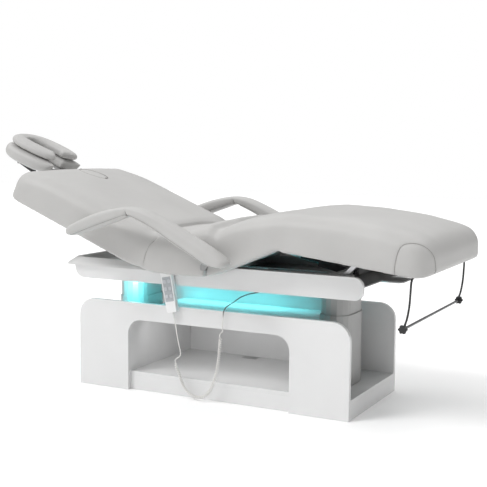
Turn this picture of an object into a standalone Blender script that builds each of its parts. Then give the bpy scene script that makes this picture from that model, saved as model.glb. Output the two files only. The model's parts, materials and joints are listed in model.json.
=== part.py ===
"""Electric facial treatment bed: white laminate base with an open storage niche, two lifting columns,
a lit tray, and grey upholstered back, seat, thigh and calf sections with armrests and a face cradle.

Units are metres, +Z is up. +X points to the foot end and -Y is the side with the hand control.
The origin is on the floor under the middle of the base.
"""
import bpy
import bmesh
from math import cos, sin, pi, radians, sqrt
from mathutils import Matrix, Vector

# ---- driving dimensions ----
GAP = 0.0003                 # clearance between pieces that touch

BASE_X = 0.61                # half the length of the base
BASE_Y = 0.2636              # half the width of the base, over both side panels
BASE_TOP = 0.368             # height of the side panels
BOARD = 0.018                # laminate board thickness
PLINTH_TOP = 0.0766
PLINTH_BOARD = 0.0157
ARCH_X = 0.366               # half the width of the niche opening
SHELF_BOTTOM = 0.2970
SHELF_TOP = 0.3120
PANEL_CORNER = 0.070
ARCH_CORNER = 0.060

COLUMN_X = 0.470             # lifting columns, distance from the middle
COLUMN_HALF = (0.0640, 0.1150)
COLUMN_WALL = 0.0030
COLUMN_PLAY = 0.0015

TRAY_HEAD = -0.632
TRAY_FOOT = 0.655
TRAY_BOTTOM = 0.4545
TRAY_TOP = 0.5400
DECK_TOP = 0.5080
DECK_THICK = 0.0050
COWL_END = -0.252
SLOT_Y = 0.062               # half width of the slot in the deck for the actuators

BED_Y = 0.378                # half the width of the upholstery
BACK_HINGE = (-0.207, 0.5900)
HIP_HINGE = (0.0850, 0.5465)
BACK_ANGLE = radians(22.0)   # backrest raised above flat
THIGH_ANGLE = radians(22.6)  # thigh section raised above flat
CALF_ANGLE = radians(-7.0)   # calf section falls towards the foot
THIGH_LENGTH = 0.2908        # hip hinge to knee hinge
BOARD_LEVEL = 0.5465         # middle of the carrying boards when the bed is flat
CARRIER = 0.0120             # thickness of a carrying board
CARRIER_Y = 0.262

ARM_Y = 0.440                # middle of an armrest
ARM_WIDTH = 0.090
ARM_PIVOT = (0.0950, 0.6000)

CRADLE_TILT = radians(21.0)
CRADLE_PIVOT = (-0.945, 0.8560)

ROLL_BAR = (0.8420, 0.3870)
ROLL_Y = 0.352

HANDSET_TOP = (-0.1705, 0.5130)
HANDSET_SIZE = (0.050, 0.0200, 0.1680)
HANDSET_LEAN = radians(-11.0)
HANDSET_BACK_Y = -0.2700

CORD_D = 0.0045
CURL_D = 0.0140


# ---- helpers ----
def clear_scene():
    for obj in list(bpy.data.objects):
        bpy.data.objects.remove(obj, do_unlink=True)


def material(name, color, roughness, metallic=0.0, glow=0.0):
    mat = bpy.data.materials.new(name)
    mat.use_nodes = True
    shader = mat.node_tree.nodes["Principled BSDF"]
    shader.inputs["Base Color"].default_value = (*color, 1.0)
    shader.inputs["Roughness"].default_value = roughness
    shader.inputs["Metallic"].default_value = metallic
    if glow:
        shader.inputs["Emission Color"].default_value = (*color, 1.0)
        shader.inputs["Emission Strength"].default_value = glow
    mat.diffuse_color = (*color, 1.0)
    return mat


def finish_mesh(name, bm, mat, smooth=False):
    bmesh.ops.recalc_face_normals(bm, faces=bm.faces)
    mesh = bpy.data.meshes.new(name)
    bm.to_mesh(mesh)
    bm.free()
    if smooth:
        mesh.shade_smooth()
        mesh.set_sharp_from_angle(angle=radians(40))
    obj = bpy.data.objects.new(name, mesh)
    obj.data.materials.append(mat)
    bpy.context.scene.collection.objects.link(obj)
    return obj


def rounded(corners, steps=4):
    """Closed outline from (u, v, radius) corners, each rounded by an arc."""
    points = []
    count = len(corners)
    for i, (u, v, radius) in enumerate(corners):
        corner = Vector((u, v))
        if radius <= 0:
            points.append(corner)
            continue
        before = (Vector(corners[i - 1][:2]) - corner).normalized()
        after = (Vector(corners[(i + 1) % count][:2]) - corner).normalized()
        half = before.angle(after) / 2
        reach = radius / math_tan(half)
        centre = corner + (before + after).normalized() * (radius / sin(half))
        start = corner + before * reach - centre
        end = corner + after * reach - centre
        sweep = start.angle_signed(end)
        for k in range(steps + 1):
            turn = Matrix.Rotation(-sweep * k / steps, 2)
            points.append(centre + turn @ start)
    return points


def math_tan(angle):
    return sin(angle) / cos(angle)


def prism(name, outline, axis, low, high, mat, smooth=False):
    """Extrude a 2D outline. Axis Y takes (x, z) points, Z takes (x, y), X takes (y, z)."""
    place = {"Y": lambda p, d: (p[0], d, p[1]), "Z": lambda p, d: (p[0], p[1], d),
             "X": lambda p, d: (d, p[0], p[1])}[axis]
    bm = bmesh.new()
    lower = [bm.verts.new(place(p, low)) for p in outline]
    upper = [bm.verts.new(place(p, high)) for p in outline]
    count = len(outline)
    bm.faces.new(lower)
    bm.faces.new(list(reversed(upper)))
    for i in range(count):
        j = (i + 1) % count
        bm.faces.new((lower[i], upper[i], upper[j], lower[j]))
    return finish_mesh(name, bm, mat, smooth)


def box(name, low, high, mat):
    outline = [(low[0], low[1]), (high[0], low[1]), (high[0], high[1]), (low[0], high[1])]
    return prism(name, outline, "Z", low[2], high[2], mat)


def loft(name, loops, mat, smooth=True):
    """Closed skin through loops of equal point count, capped at both ends."""
    bm = bmesh.new()
    rings = [[bm.verts.new(p) for p in loop] for loop in loops]
    count = len(rings[0])
    for first, second in zip(rings, rings[1:]):
        for i in range(count):
            j = (i + 1) % count
            bm.faces.new((first[i], first[j], second[j], second[i]))
    bm.faces.new(list(reversed(rings[0])))
    bm.faces.new(rings[-1])
    return finish_mesh(name, bm, mat, smooth)


def rod(name, start, end, radius, mat, sides=16):
    """Solid round bar between two points."""
    start, end = Vector(start), Vector(end)
    bm = bmesh.new()
    bmesh.ops.create_cone(bm, cap_ends=True, segments=sides, radius1=radius, radius2=radius,
                          depth=(end - start).length)
    turn = (end - start).to_track_quat("Z", "Y").to_matrix().to_4x4()
    bmesh.ops.transform(bm, matrix=Matrix.Translation((start + end) / 2) @ turn, verts=bm.verts)
    return finish_mesh(name, bm, mat, True)


def hide_tool(obj):
    obj.hide_render = True
    obj.display_type = "WIRE"


def combine(obj, tool, operation):
    """Boolean with a tool object that stays in the scene as a wire guide."""
    mod = obj.modifiers.new(operation.title(), "BOOLEAN")
    mod.operation = operation
    mod.solver = "EXACT"
    mod.object = tool
    hide_tool(tool)


def cut(obj, tool):
    combine(obj, tool, "DIFFERENCE")


def join(obj, tool):
    combine(obj, tool, "UNION")


def place(objects, location, angle=0.0):
    """Put objects modelled about their joint axis at that axis, turned about Y."""
    for obj in objects:
        obj.location = location
        obj.rotation_euler = (0.0, angle, 0.0)


def stadium(half_x, half_y, steps=8):
    """Oval outline with round ends along Y."""
    points = []
    for side in (1, -1):
        for k in range(steps + 1):
            turn = pi * k / steps
            points.append((half_x * cos(turn) * side, (half_y - half_x + half_x * sin(turn)) * side))
    return points


def pad_section(x, bottom, top, half_width, recess_y, recess_top, radius, slant=0.0):
    """Cross-section of an upholstered section in the YZ plane, with a recess underneath for its board.

    The slant leans the section along X by that much per metre of height.
    """
    radius = min(radius, (top - bottom) * 0.45, half_width * 0.45)
    low = min(radius * 0.4, (top - bottom) * 0.3)
    recess_top = max(recess_top, bottom + 0.002)
    edge = min(recess_y, half_width - 0.03)
    corners = [(-edge, recess_top, 0), (edge, recess_top, 0), (edge, bottom, 0),
               (half_width, bottom, low), (half_width, top, radius),
               (-half_width, top, radius), (-half_width, bottom, low), (-edge, bottom, 0)]
    return [(x + slant * (z - bottom), y, z) for y, z in rounded(corners, 3)]


def smooth_route(points, spacing):
    """Points at an even spacing on a smooth curve through the given ones."""
    pts = [Vector(p) for p in points]
    ends = [pts[0] * 2 - pts[1]] + pts + [pts[-1] * 2 - pts[-2]]
    dense = []
    fine = 24
    for a, b, c, d in zip(ends, ends[1:], ends[2:], ends[3:]):
        for k in range(fine):
            t = k / fine
            dense.append(0.5 * ((2 * b) + (c - a) * t + (2 * a - 5 * b + 4 * c - d) * t ** 2
                                + (3 * b - a - 3 * c + d) * t ** 3))
    dense.append(pts[-1])
    lengths = [0.0]
    for a, b in zip(dense, dense[1:]):
        lengths.append(lengths[-1] + (b - a).length)
    count = max(2, round(lengths[-1] / spacing))
    route = []
    index = 0
    for k in range(count + 1):
        want = lengths[-1] * k / count
        while index < len(dense) - 2 and lengths[index + 1] < want:
            index += 1
        part = (want - lengths[index]) / max(lengths[index + 1] - lengths[index], 1e-9)
        route.append(dense[index].lerp(dense[index + 1], min(part, 1.0)))
    return route


def tube(name, points, radius, mat, resolution=2):
    curve = bpy.data.curves.new(name, "CURVE")
    curve.dimensions = "3D"
    curve.bevel_depth = radius
    curve.bevel_resolution = resolution
    curve.use_fill_caps = True
    spline = curve.splines.new("POLY")
    spline.points.add(len(points) - 1)
    for point, place_at in zip(spline.points, points):
        point.co = (*place_at, 1.0)
    obj = bpy.data.objects.new(name, curve)
    obj.data.materials.append(mat)
    bpy.context.scene.collection.objects.link(obj)
    return obj


# ---- base ----
def side_panel_outline(with_arch):
    corners = [(-BASE_X, 0, 0), (-BASE_X, BASE_TOP, PANEL_CORNER), (BASE_X, BASE_TOP, PANEL_CORNER), (BASE_X, 0, 0)]
    if with_arch:
        corners += [(ARCH_X, 0, 0), (ARCH_X, SHELF_BOTTOM, ARCH_CORNER),
                    (-ARCH_X, SHELF_BOTTOM, ARCH_CORNER), (-ARCH_X, 0, 0)]
    return rounded(corners, 6)


def build_base(white, steel, plastic):
    inner_y = BASE_Y - BOARD
    prism("side_panel_near", side_panel_outline(True), "Y", -BASE_Y, -inner_y, white)
    prism("side_panel_far", side_panel_outline(False), "Y", inner_y, BASE_Y, white)

    y = inner_y - GAP
    box("plinth_base", (-BASE_X, -y, 0), (BASE_X, y, PLINTH_TOP - PLINTH_BOARD - GAP), white)
    top = box("plinth_top", (-BASE_X, -y, PLINTH_TOP - PLINTH_BOARD), (BASE_X, y, PLINTH_TOP), white)
    plate = [(-0.076, 0.196, 0.004), (-0.006, 0.196, 0.004), (-0.006, 0.236, 0.004), (-0.076, 0.236, 0.004)]
    grow = 0.0005
    pocket = [(u + (grow if u > -0.04 else -grow), v + (grow if v > 0.2 else -grow), r) for u, v, r in plate]
    cut(top, prism("grommet_pocket", rounded(pocket, 3), "Z", PLINTH_TOP - 0.004, PLINTH_TOP + 0.01, white))
    prism("cable_grommet", rounded(plate, 3), "Z", PLINTH_TOP - 0.004 + GAP, PLINTH_TOP + 0.0006, plastic)

    for name, side in (("head", -1), ("foot", 1)):
        a, b = sorted((side * ARCH_X, side * (ARCH_X + BOARD)))
        box("partition_" + name, (a, -y, PLINTH_TOP + GAP), (b, y, SHELF_BOTTOM - GAP), white)
    reach = COLUMN_X - COLUMN_HALF[0] - 0.003
    box("niche_shelf", (-reach, -y, SHELF_BOTTOM), (reach, y, SHELF_TOP), white)

    for name, side in (("head", -1), ("foot", 1)):
        hx, hy = COLUMN_HALF
        outer = prism("column_outer_" + name, stadium(hx, hy), "Z", PLINTH_TOP + GAP, 0.3620, steel, True)
        bore = stadium(hx - COLUMN_WALL, hy - COLUMN_WALL)
        cut(outer, prism("column_bore_" + name, bore, "Z", PLINTH_TOP + 0.006, 0.5, steel))
        place([outer, bpy.data.objects["column_bore_" + name]], (side * COLUMN_X, 0, 0))


# ---- lifting tray ----
def build_tray(white, steel, dark_steel, cyan, plastic, shell):
    inner = BASE_Y - BOARD
    for name, side in (("head", -1), ("foot", 1)):
        trim = COLUMN_WALL + COLUMN_PLAY
        stage = stadium(COLUMN_HALF[0] - trim, COLUMN_HALF[1] - trim)
        column = prism("column_inner_" + name, stage, "Z", 0.0880, DECK_TOP - DECK_THICK - GAP, steel, True)
        place([column], (side * COLUMN_X, 0, 0))

    low = DECK_TOP
    step_x = -0.205
    skirt = rounded([(TRAY_HEAD, TRAY_BOTTOM, 0.045), (TRAY_HEAD, low, 0), (step_x - 0.03, low, 0),
                     (step_x, TRAY_TOP, 0), (TRAY_FOOT, TRAY_TOP, 0.035), (TRAY_FOOT, TRAY_BOTTOM, 0.032)], 5)
    prism("skirt_near", skirt, "Y", -BASE_Y, -inner, white)
    prism("skirt_far", skirt, "Y", inner, BASE_Y, white)

    y = inner - GAP
    tongue_y, tongue_x = 0.052, 0.741
    outline = [(TRAY_HEAD + 0.01, -y), (TRAY_FOOT, -y), (TRAY_FOOT, -tongue_y), (tongue_x, -tongue_y),
               (tongue_x, tongue_y), (TRAY_FOOT, tongue_y), (TRAY_FOOT, y), (TRAY_HEAD + 0.01, y)]
    deck = prism("deck_plate", outline, "Z", DECK_TOP - DECK_THICK, DECK_TOP - GAP, dark_steel)
    slot_end = COLUMN_X - COLUMN_HALF[0] - 0.008
    cut(deck, box("deck_slot", (-slot_end, -SLOT_Y, 0.45), (slot_end, SLOT_Y, 0.55), dark_steel))

    build_cowl(shell)

    for name, side in (("near", -1), ("far", 1)):
        y0, y1 = sorted((side * (inner - GAP), side * (inner - 0.0110)))
        box("light_bar_" + name, (-0.575, y0, 0.4640), (0.575, y1, 0.4740), cyan)

    box("control_box", (0.110, 0.075, 0.4600), (0.330, 0.205, DECK_TOP - DECK_THICK - GAP), plastic)


def build_cowl(shell):
    """Moulded head-end cover of the tray with a flared rim and a shallow dish."""
    def outline(end, half_y, z, radius, foot):
        corners = [(end, -half_y, radius), (foot, -half_y, 0), (foot, half_y, 0), (end, half_y, radius)]
        return [(x, y, z) for x, y in rounded(corners, 5)]

    rim_top = TRAY_TOP - 0.0005
    loops = [outline(-0.6875, 0.2780, DECK_TOP, 0.050, COWL_END),
             outline(-0.6800, 0.2740, DECK_TOP + 0.009, 0.048, COWL_END),
             outline(-0.6480, 0.2560, rim_top, 0.045, COWL_END),
             outline(-0.6300, 0.2420, rim_top, 0.040, COWL_END - 0.004),
             outline(-0.6050, 0.2200, DECK_TOP + 0.006, 0.035, COWL_END - 0.008)]
    cowl = loft("head_cowl", loops, shell)
    cut(cowl, box("cowl_slot", (-0.420, -SLOT_Y, 0.45), (-0.1, SLOT_Y, 0.6), shell))


def build_frame(dark_steel, wood, steel):
    """Welded frame on the deck: side rails, cross bars, back hinge posts with stub pins, hip pins."""
    top = BOARD_LEVEL - CARRIER / 2 - GAP
    rail_in, rail_out = 0.206, 0.226
    frame = box("support_frame", (-0.190, -rail_out, DECK_TOP), (0.600, -rail_in, top), dark_steel)
    join(frame, box("rail_far", (-0.190, rail_in, DECK_TOP), (0.600, rail_out, top), dark_steel))
    weld = rail_out - 0.010
    join(frame, box("cross_bar_mid", (0.010, -weld, DECK_TOP), (0.035, weld, top), dark_steel))
    tail_x, tail_z = BACK_TAIL
    leg_x, leg_z = LEG_TAIL
    for side in (-1, 1):
        y0, y1 = sorted((side * 0.030, side * 0.042))
        lug = [(0.006, 0.478), (0.033, 0.478), (0.033, top - 0.002), (0.006, top - 0.002)]
        join(frame, prism("back_tail_lug_%d" % side, lug, "Y", y0, y1, dark_steel))
        y0, y1 = sorted((side * 0.036, side * weld))
        join(frame, box("cross_bar_foot_%d" % side, (leg_x - 0.012, y0, DECK_TOP), (leg_x + 0.008, y1, top), dark_steel))
    join(frame, rod("back_tail_pin", (tail_x, -0.036, tail_z), (tail_x, 0.036, tail_z), 0.0040, dark_steel))
    join(frame, rod("leg_tail_pin", (leg_x, -0.040, leg_z), (leg_x, 0.040, leg_z), 0.0040, dark_steel))
    for side in (-1, 1):
        x, z = BACK_HINGE
        y0, y1 = sorted((side * 0.226, side * 0.234))
        post = rounded([(x - 0.016, DECK_TOP + 0.002, 0), (x + 0.060, DECK_TOP + 0.002, 0), (x + 0.060, top, 0),
                        (x + 0.017, z + 0.016, 0.012), (x - 0.016, z + 0.016, 0.012)], 3)
        join(frame, prism("back_post_%d" % side, post, "Y", y0, y1, dark_steel))
        bridge = box("post_foot_%d" % side, (x + 0.020, min(side * 0.215, side * 0.234), DECK_TOP + 0.002),
                     (x + 0.058, max(side * 0.215, side * 0.234), top), dark_steel)
        join(frame, bridge)
        join(frame, rod("back_pin_%d" % side, (x, side * 0.232, z), (x, side * 0.252, z), 0.0080, steel))
        hx, hz = HIP_HINGE
        ear = rounded([(hx - 0.010, DECK_TOP + 0.004, 0), (hx + 0.010, DECK_TOP + 0.004, 0),
                       (hx + 0.010, hz + 0.010, 0.009), (hx - 0.010, hz + 0.010, 0.009)], 3)
        e0, e1 = sorted((side * 0.2080, side * 0.2160))
        join(frame, prism("hip_ear_%d" % side, ear, "Y", e0, e1, dark_steel))
        join(frame, rod("hip_pin_%d" % side, (hx, side * 0.2120, hz), (hx, side * 0.188, hz), 0.0060, steel))
        fx, fz = LINK_FOOT
        join(frame, rod("link_pin_%d" % side, (fx, side * 0.2100, fz), (fx, side * 0.180, fz), 0.0050, steel))

    low = BOARD_LEVEL - CARRIER / 2
    seat = box("seat_board", (-0.130, -CARRIER_Y, low), (0.040, CARRIER_Y, low + CARRIER), wood)
    return frame, seat


def knee_point():
    x, z = HIP_HINGE
    return (x + THIGH_LENGTH * cos(THIGH_ANGLE), z + THIGH_LENGTH * sin(THIGH_ANGLE))


KNEE_RELIEF = 0.0125                  # recess height over the knee hinges
LINK_FOOT = (0.5470, 0.5246)
LINK_HEAD_LOCAL = (0.2700, -0.0300)   # pin on the calf board, from the knee hinge


# ---- upholstered sections ----
def build_seat(leather):
    low = 0.5150
    ceiling = BOARD_LEVEL + CARRIER / 2 + 0.0005
    head = BACK_HINGE[0] + 0.0680
    stations = [(head, low + 0.012, 0.640, 0.366), (head + 0.012, low, 0.657, BED_Y),
                (head + 0.060, low, 0.662, BED_Y), (-0.010, low, 0.664, BED_Y),
                (0.035, low, 0.664, BED_Y), (0.046, low + 0.008, 0.655, 0.370)]
    loops = [pad_section(x, zb, zt, w, 0.275, ceiling, 0.035) for x, zb, zt, w in stations]
    seat = loft("seat_cushion", loops, leather)
    x, z = BACK_HINGE
    for side in (-1, 1):
        y0, y1 = sorted((side * 0.222, side * 0.256))
        cut(seat, box("seat_slot_%d" % side, (-0.2, y0, 0.5), (x + 0.100, y1, z + 0.022), leather))
    return seat


def build_back(leather, wood, vinyl, dark_steel):
    """Modelled flat about the back hinge, then tilted up."""
    thick = 0.072
    recess = BOARD_LEVEL - BACK_HINGE[1] + CARRIER / 2 + 0.0005
    stations = [(0.030, -0.052, 0.052, 0.366), (0.016, -0.062, 0.062, 0.374), (-0.010, -0.070, 0.070, BED_Y),
                (-0.060, -thick, thick, BED_Y), (-0.280, -thick, thick, BED_Y), (-0.480, -thick, thick, BED_Y),
                (-0.560, -thick, 0.070, 0.377), (-0.630, -thick, 0.064, 0.374), (-0.685, -0.070, 0.054, 0.360),
                (-0.722, -0.064, 0.042, 0.334), (-0.744, -0.054, 0.026, 0.295), (-0.755, -0.040, 0.008, 0.236)]
    loops = [pad_section(x, zb, zt, w, 0.282, zb if x < -0.700 else recess, 0.040)
             for x, zb, zt, w in reversed(stations)]
    pad = loft("back_cushion", loops, leather)
    for side in (-1, 1):
        y0, y1 = sorted((side * 0.222, side * 0.256))
        cut(pad, box("back_slot_%d" % side, (-0.045, y0, -0.1), (0.1, y1, 0.038), leather))

    z0 = BOARD_LEVEL - BACK_HINGE[1] - CARRIER / 2
    plate = [(-0.682, -0.235, 0.05), (-0.600, -CARRIER_Y, 0), (-0.030, -CARRIER_Y, 0), (-0.030, CARRIER_Y, 0),
             (-0.600, CARRIER_Y, 0), (-0.682, 0.235, 0.05)]
    board = prism("back_board", rounded(plate, 3), "Z", z0, z0 + CARRIER, wood)
    for side in (-1, 1):
        y0, y1 = sorted((side * 0.2370, side * 0.2450))
        arm = rounded([(-0.090, z0 + 0.010, 0), (-0.090, z0 + 0.002, 0), (-0.030, z0 + 0.002, 0),
                       (-0.012, z0 - 0.004, 0.006), (0.015, -0.005, 0.01), (0.015, 0.016, 0.012),
                       (-0.015, 0.016, 0.012), (-0.030, z0 + 0.010, 0)], 3)
        ear = prism("back_ear_%d" % side, arm, "Y", y0, y1, dark_steel)
        cut(ear, rod("back_ear_hole_%d" % side, (0, side * 0.2, 0), (0, side * 0.3, 0), 0.0084, dark_steel))
        join(board, ear)
    lug_x, lug_z = BACK_LUG
    for i, y in enumerate((-0.032, 0.020)):
        lug = rounded([(lug_x - 0.040, z0 + 0.002, 0), (lug_x - 0.014, lug_z - 0.012, 0.01),
                       (lug_x + 0.014, lug_z - 0.012, 0.01), (lug_x + 0.022, z0 + 0.002, 0)], 3)
        join(board, prism("back_lug_%d" % i, lug, "Y", y, y + 0.012, dark_steel))

    centre, half_x, half_y = -0.590, 0.075, 0.046
    for target, rim in ((pad, 0.0), (board, 0.012)):
        hole = oval(centre, half_x - rim, half_y - rim)
        cut(target, prism("breath_hole_" + target.name, hole, "Z", -0.2, 0.2, leather))
    plug = prism("breath_plug", oval(centre, half_x - 0.001, half_y - 0.001), "Z", z0 + CARRIER + GAP, 0.0660, vinyl)
    for side in (-1, 1):
        y0, y1 = sorted((side * (CRADLE_ROD_Y - 0.014), side * (CRADLE_ROD_Y + 0.014)))
        join(board, box("back_socket_%d" % side, (-0.640, y0, z0 - 0.0190), (-0.590, y1, z0 + 0.002), dark_steel))
        rod_z = z0 - CRADLE_ROD_DROP
        bore = rod("back_socket_bore_%d" % side, (-0.70, side * CRADLE_ROD_Y, rod_z),
                   (-0.50, side * CRADLE_ROD_Y, rod_z), 0.0074, dark_steel, 12)
        cut(board, bore)
        y0, y1 = sorted((side * (CRADLE_ROD_Y - 0.010), side * (CRADLE_ROD_Y + 0.010)))
        cut(pad, box("back_socket_notch_%d" % side, (-0.80, y0, -0.100), (-0.690, y1, rod_z + 0.0090), leather))
    guides = [o for o in bpy.data.objects if o.name.startswith(("back_slot", "back_ear", "back_lug", "breath_hole",
                                                                "back_socket"))]
    turned = [pad, board, plug] + guides
    place(turned, (BACK_HINGE[0], 0, BACK_HINGE[1]), BACK_ANGLE)
    return pad, board, plug


CRADLE_ROD_Y = 0.080                  # the two rods of the face cradle
CRADLE_ROD_DROP = 0.0095              # their depth under the backrest board
BACK_LUG = (-0.0144, -0.1245)         # actuator pin on the backrest, from the back hinge, bed flat


def oval(centre, half_x, half_y, steps=20):
    return [(centre + half_x * cos(2 * pi * k / steps), half_y * sin(2 * pi * k / steps)) for k in range(steps)]


def build_thigh(leather, wood, dark_steel):
    ceiling = CARRIER / 2 + 0.0005
    low = -0.0226
    stations = [(-0.005, low, 0.106, 0.370), (0.010, low, 0.118, BED_Y), (0.060, low, 0.124, BED_Y),
                (0.140, low, 0.130, BED_Y), (0.225, low, 0.120, BED_Y), (0.262, low, 0.108, BED_Y), (0.284, low + 0.004, 0.100, 0.372)]
    loops = [pad_section(x, zb, zt, w, 0.275, ceiling if 0.05 < x < 0.25 else KNEE_RELIEF, 0.035,
                         0.26 if x < 0.05 else 0.0) for x, zb, zt, w in stations]
    pad = loft("thigh_cushion", loops, leather)

    board = box("thigh_board", (0.014, -0.186, -CARRIER / 2), (THIGH_LENGTH - 0.016, 0.186, CARRIER / 2), wood)
    for side in (-1, 1):
        join_knuckle(board, "hip", 0.0, side, (0.190, 0.200), 0.0064, dark_steel, reach=0.050)
        y0, y1 = sorted((side * 0.186, side * 0.176))
        arm = rounded([(THIGH_LENGTH - 0.050, -0.005, 0), (THIGH_LENGTH + 0.009, -0.009, 0.006),
                       (THIGH_LENGTH + 0.009, 0.009, 0.006), (THIGH_LENGTH - 0.050, 0.005, 0)], 3)
        join(board, prism("knee_arm_%d" % side, arm, "Y", y0, y1, dark_steel))
        pin = rod("knee_pin_%d" % side, (THIGH_LENGTH, side * 0.180, 0), (THIGH_LENGTH, side * 0.206, 0), 0.0050, dark_steel)
        join(board, pin)
    for i, y in enumerate((-0.030, 0.020)):
        x, z = LEG_LUG
        lug = rounded([(x - 0.020, -0.004, 0), (x - 0.010, z - 0.008, 0.006), (x + 0.010, z - 0.008, 0.006),
                       (x + 0.020, -0.004, 0)], 3)
        join(board, prism("leg_lug_%d" % i, lug, "Y", y, y + 0.010, dark_steel))
    guides = [o for o in bpy.data.objects if o.name.startswith(("hip_knuckle", "knee_arm", "knee_pin", "leg_lug"))]
    place([pad, board] + guides, (HIP_HINGE[0], 0, HIP_HINGE[1]), -THIGH_ANGLE)
    return pad, board


LEG_LUG = (0.1500, -0.0200)           # actuator pin on the thigh board, from the hip hinge


def join_knuckle(board, label, x, side, span, bore, mat, reach):
    """Arm with an eye around a hinge pin, welded to a board."""
    y0, y1 = sorted((side * span[0], side * span[1]))
    sign = 1 if reach > 0 else -1
    outline = rounded([(x - sign * 0.010, -0.010, 0.006), (x + sign * 0.012, -0.010, 0.004),
                       (x + sign * 0.026, -0.0055, 0), (x + reach, -0.005, 0), (x + reach, 0.005, 0),
                       (x + sign * 0.026, 0.0055, 0), (x + sign * 0.012, 0.010, 0.004),
                       (x - sign * 0.010, 0.010, 0.006)], 3)
    name = "%s_knuckle_%d" % (label, side)
    ear = prism(name, outline, "Y", y0, y1, mat)
    hole = rod(name + "_hole", (x, side * 0.1, 0), (x, side * 0.3, 0), bore, mat)
    cut(ear, hole)
    foot = box(name + "_foot", (x + reach * 0.6, min(side * 0.180, y1 if side > 0 else y0), -0.004),
               (x + reach, max(side * 0.180, y1 if side > 0 else y0), 0.004), mat)
    join(board, ear)
    join(board, foot)


def build_calf(leather, wood, dark_steel, black):
    ceiling = CARRIER / 2 + 0.0005
    low = -0.0226
    stations = [(0.007, low + 0.004, 0.100, 0.372), (0.030, low, 0.108, BED_Y), (0.120, low, 0.119, BED_Y),
                (0.300, low, 0.122, BED_Y), (0.420, low, 0.117, BED_Y), (0.480, low, 0.108, 0.376),
                (0.525, low + 0.001, 0.096, 0.364), (0.558, low + 0.004, 0.080, 0.334),
                (0.580, low + 0.012, 0.058, 0.286), (0.590, low + 0.026, 0.032, 0.236)]
    loops = [pad_section(x, zb, zt, w, 0.275, KNEE_RELIEF if x < 0.05 else ceiling if x < 0.50 else zb, 0.040)
             for x, zb, zt, w in stations]
    pad = loft("calf_cushion", loops, leather)

    board = box("calf_board", (0.016, -CARRIER_Y, -CARRIER / 2), (0.479, CARRIER_Y, CARRIER / 2), wood)
    cut(board, box("calf_relief", (-0.1, -0.188, -0.1), (0.030, 0.188, 0.1), wood))
    for side in (-1, 1):
        join_knuckle(board, "knee", 0.0, side, (0.190, 0.200), 0.0054, dark_steel, reach=0.060)
        x, z = LINK_HEAD_LOCAL
        y0, y1 = sorted((side * 0.166, side * 0.176))
        lug = rounded([(x - 0.022, -0.004, 0), (x - 0.009, z - 0.008, 0.007), (x + 0.009, z - 0.008, 0.007),
                       (x + 0.022, -0.004, 0)], 3)
        join(board, prism("link_lug_%d" % side, lug, "Y", y0, y1, dark_steel))
    guides = [o for o in bpy.data.objects if o.name.startswith(("knee_knuckle", "link_lug", "calf_relief"))]
    knee = knee_point()
    place([pad, board] + guides, (knee[0], 0, knee[1]), -CALF_ANGLE)

    for name, side in (("near", -1), ("far", 1)):
        build_hanger(name, side, black)
    return pad, board


def build_hanger(name, side, black):
    """Black wire hanger of the paper-roll holder, with an eye around the roll bar."""
    x, z = ROLL_BAR
    shoulder = 0.5665
    route = smooth_route([(0.866, side * 0.236, shoulder), (0.865, side * 0.300, shoulder),
                          (0.864, side * 0.338, shoulder - 0.003), (0.863, side * 0.350, shoulder - 0.016),
                          (0.862, side * ROLL_Y, shoulder - 0.045), (0.859, side * ROLL_Y, 0.470),
                          (0.852, side * ROLL_Y, 0.425), (x + 0.0010, side * ROLL_Y, z + 0.009)], 0.012)
    wire = tube("roll_hanger_" + name, route, 0.0040, black, 2)
    wire_mesh = bpy.data.meshes.new_from_object(wire.evaluated_get(bpy.context.evaluated_depsgraph_get()))
    bpy.data.objects.remove(wire, do_unlink=True)
    hanger = bpy.data.objects.new("roll_hanger_" + name, wire_mesh)
    bpy.context.scene.collection.objects.link(hanger)
    y0, y1 = sorted((side * (ROLL_Y - 0.004), side * (ROLL_Y + 0.004)))
    eye = rod("hanger_eye_" + name, (x, y0, z), (x, y1, z), 0.0105, black, 20)
    cut(eye, rod("hanger_bore_" + name, (x, y0 - 0.01, z), (x, y1 + 0.01, z), 0.0052, black, 20))
    join(hanger, eye)
    knee = knee_point()
    top = -0.0222
    y0, y1 = sorted((side * 0.205, side * 0.262))
    flange = box("hanger_flange_" + name, (0.497, y0, top - 0.005), (0.537, y1, top), black)
    place([flange], (knee[0], 0, knee[1]), -CALF_ANGLE)
    join(hanger, flange)
    return hanger


def build_roll_bar(chrome, black):
    x, z = ROLL_BAR
    bar = rod("roll_bar", (0, -ROLL_Y - 0.018, 0), (0, ROLL_Y + 0.018, 0), 0.0048, chrome, 16)
    place([bar], (x, 0, z))
    for name, side in (("near", -1), ("far", 1)):
        points = []
        teeth, steps = 6, 5
        for k in range(teeth * steps):
            turn = 2 * pi * k / (teeth * steps)
            radius = 0.0145 + 0.0018 * cos(teeth * turn)
            points.append((radius * cos(turn), radius * sin(turn)))
        y0, y1 = sorted((side * (ROLL_Y + 0.006), side * (ROLL_Y + 0.020)))
        knob = prism("roll_knob_" + name, points, "Y", y0, y1, black, True)
        cut(knob, rod("knob_bore_" + name, (0, side * 0.2, 0), (0, side * (ROLL_Y + 0.0185), 0), 0.0051, black))
        place([knob, bpy.data.objects["knob_bore_" + name]], (x, 0, z))


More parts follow.
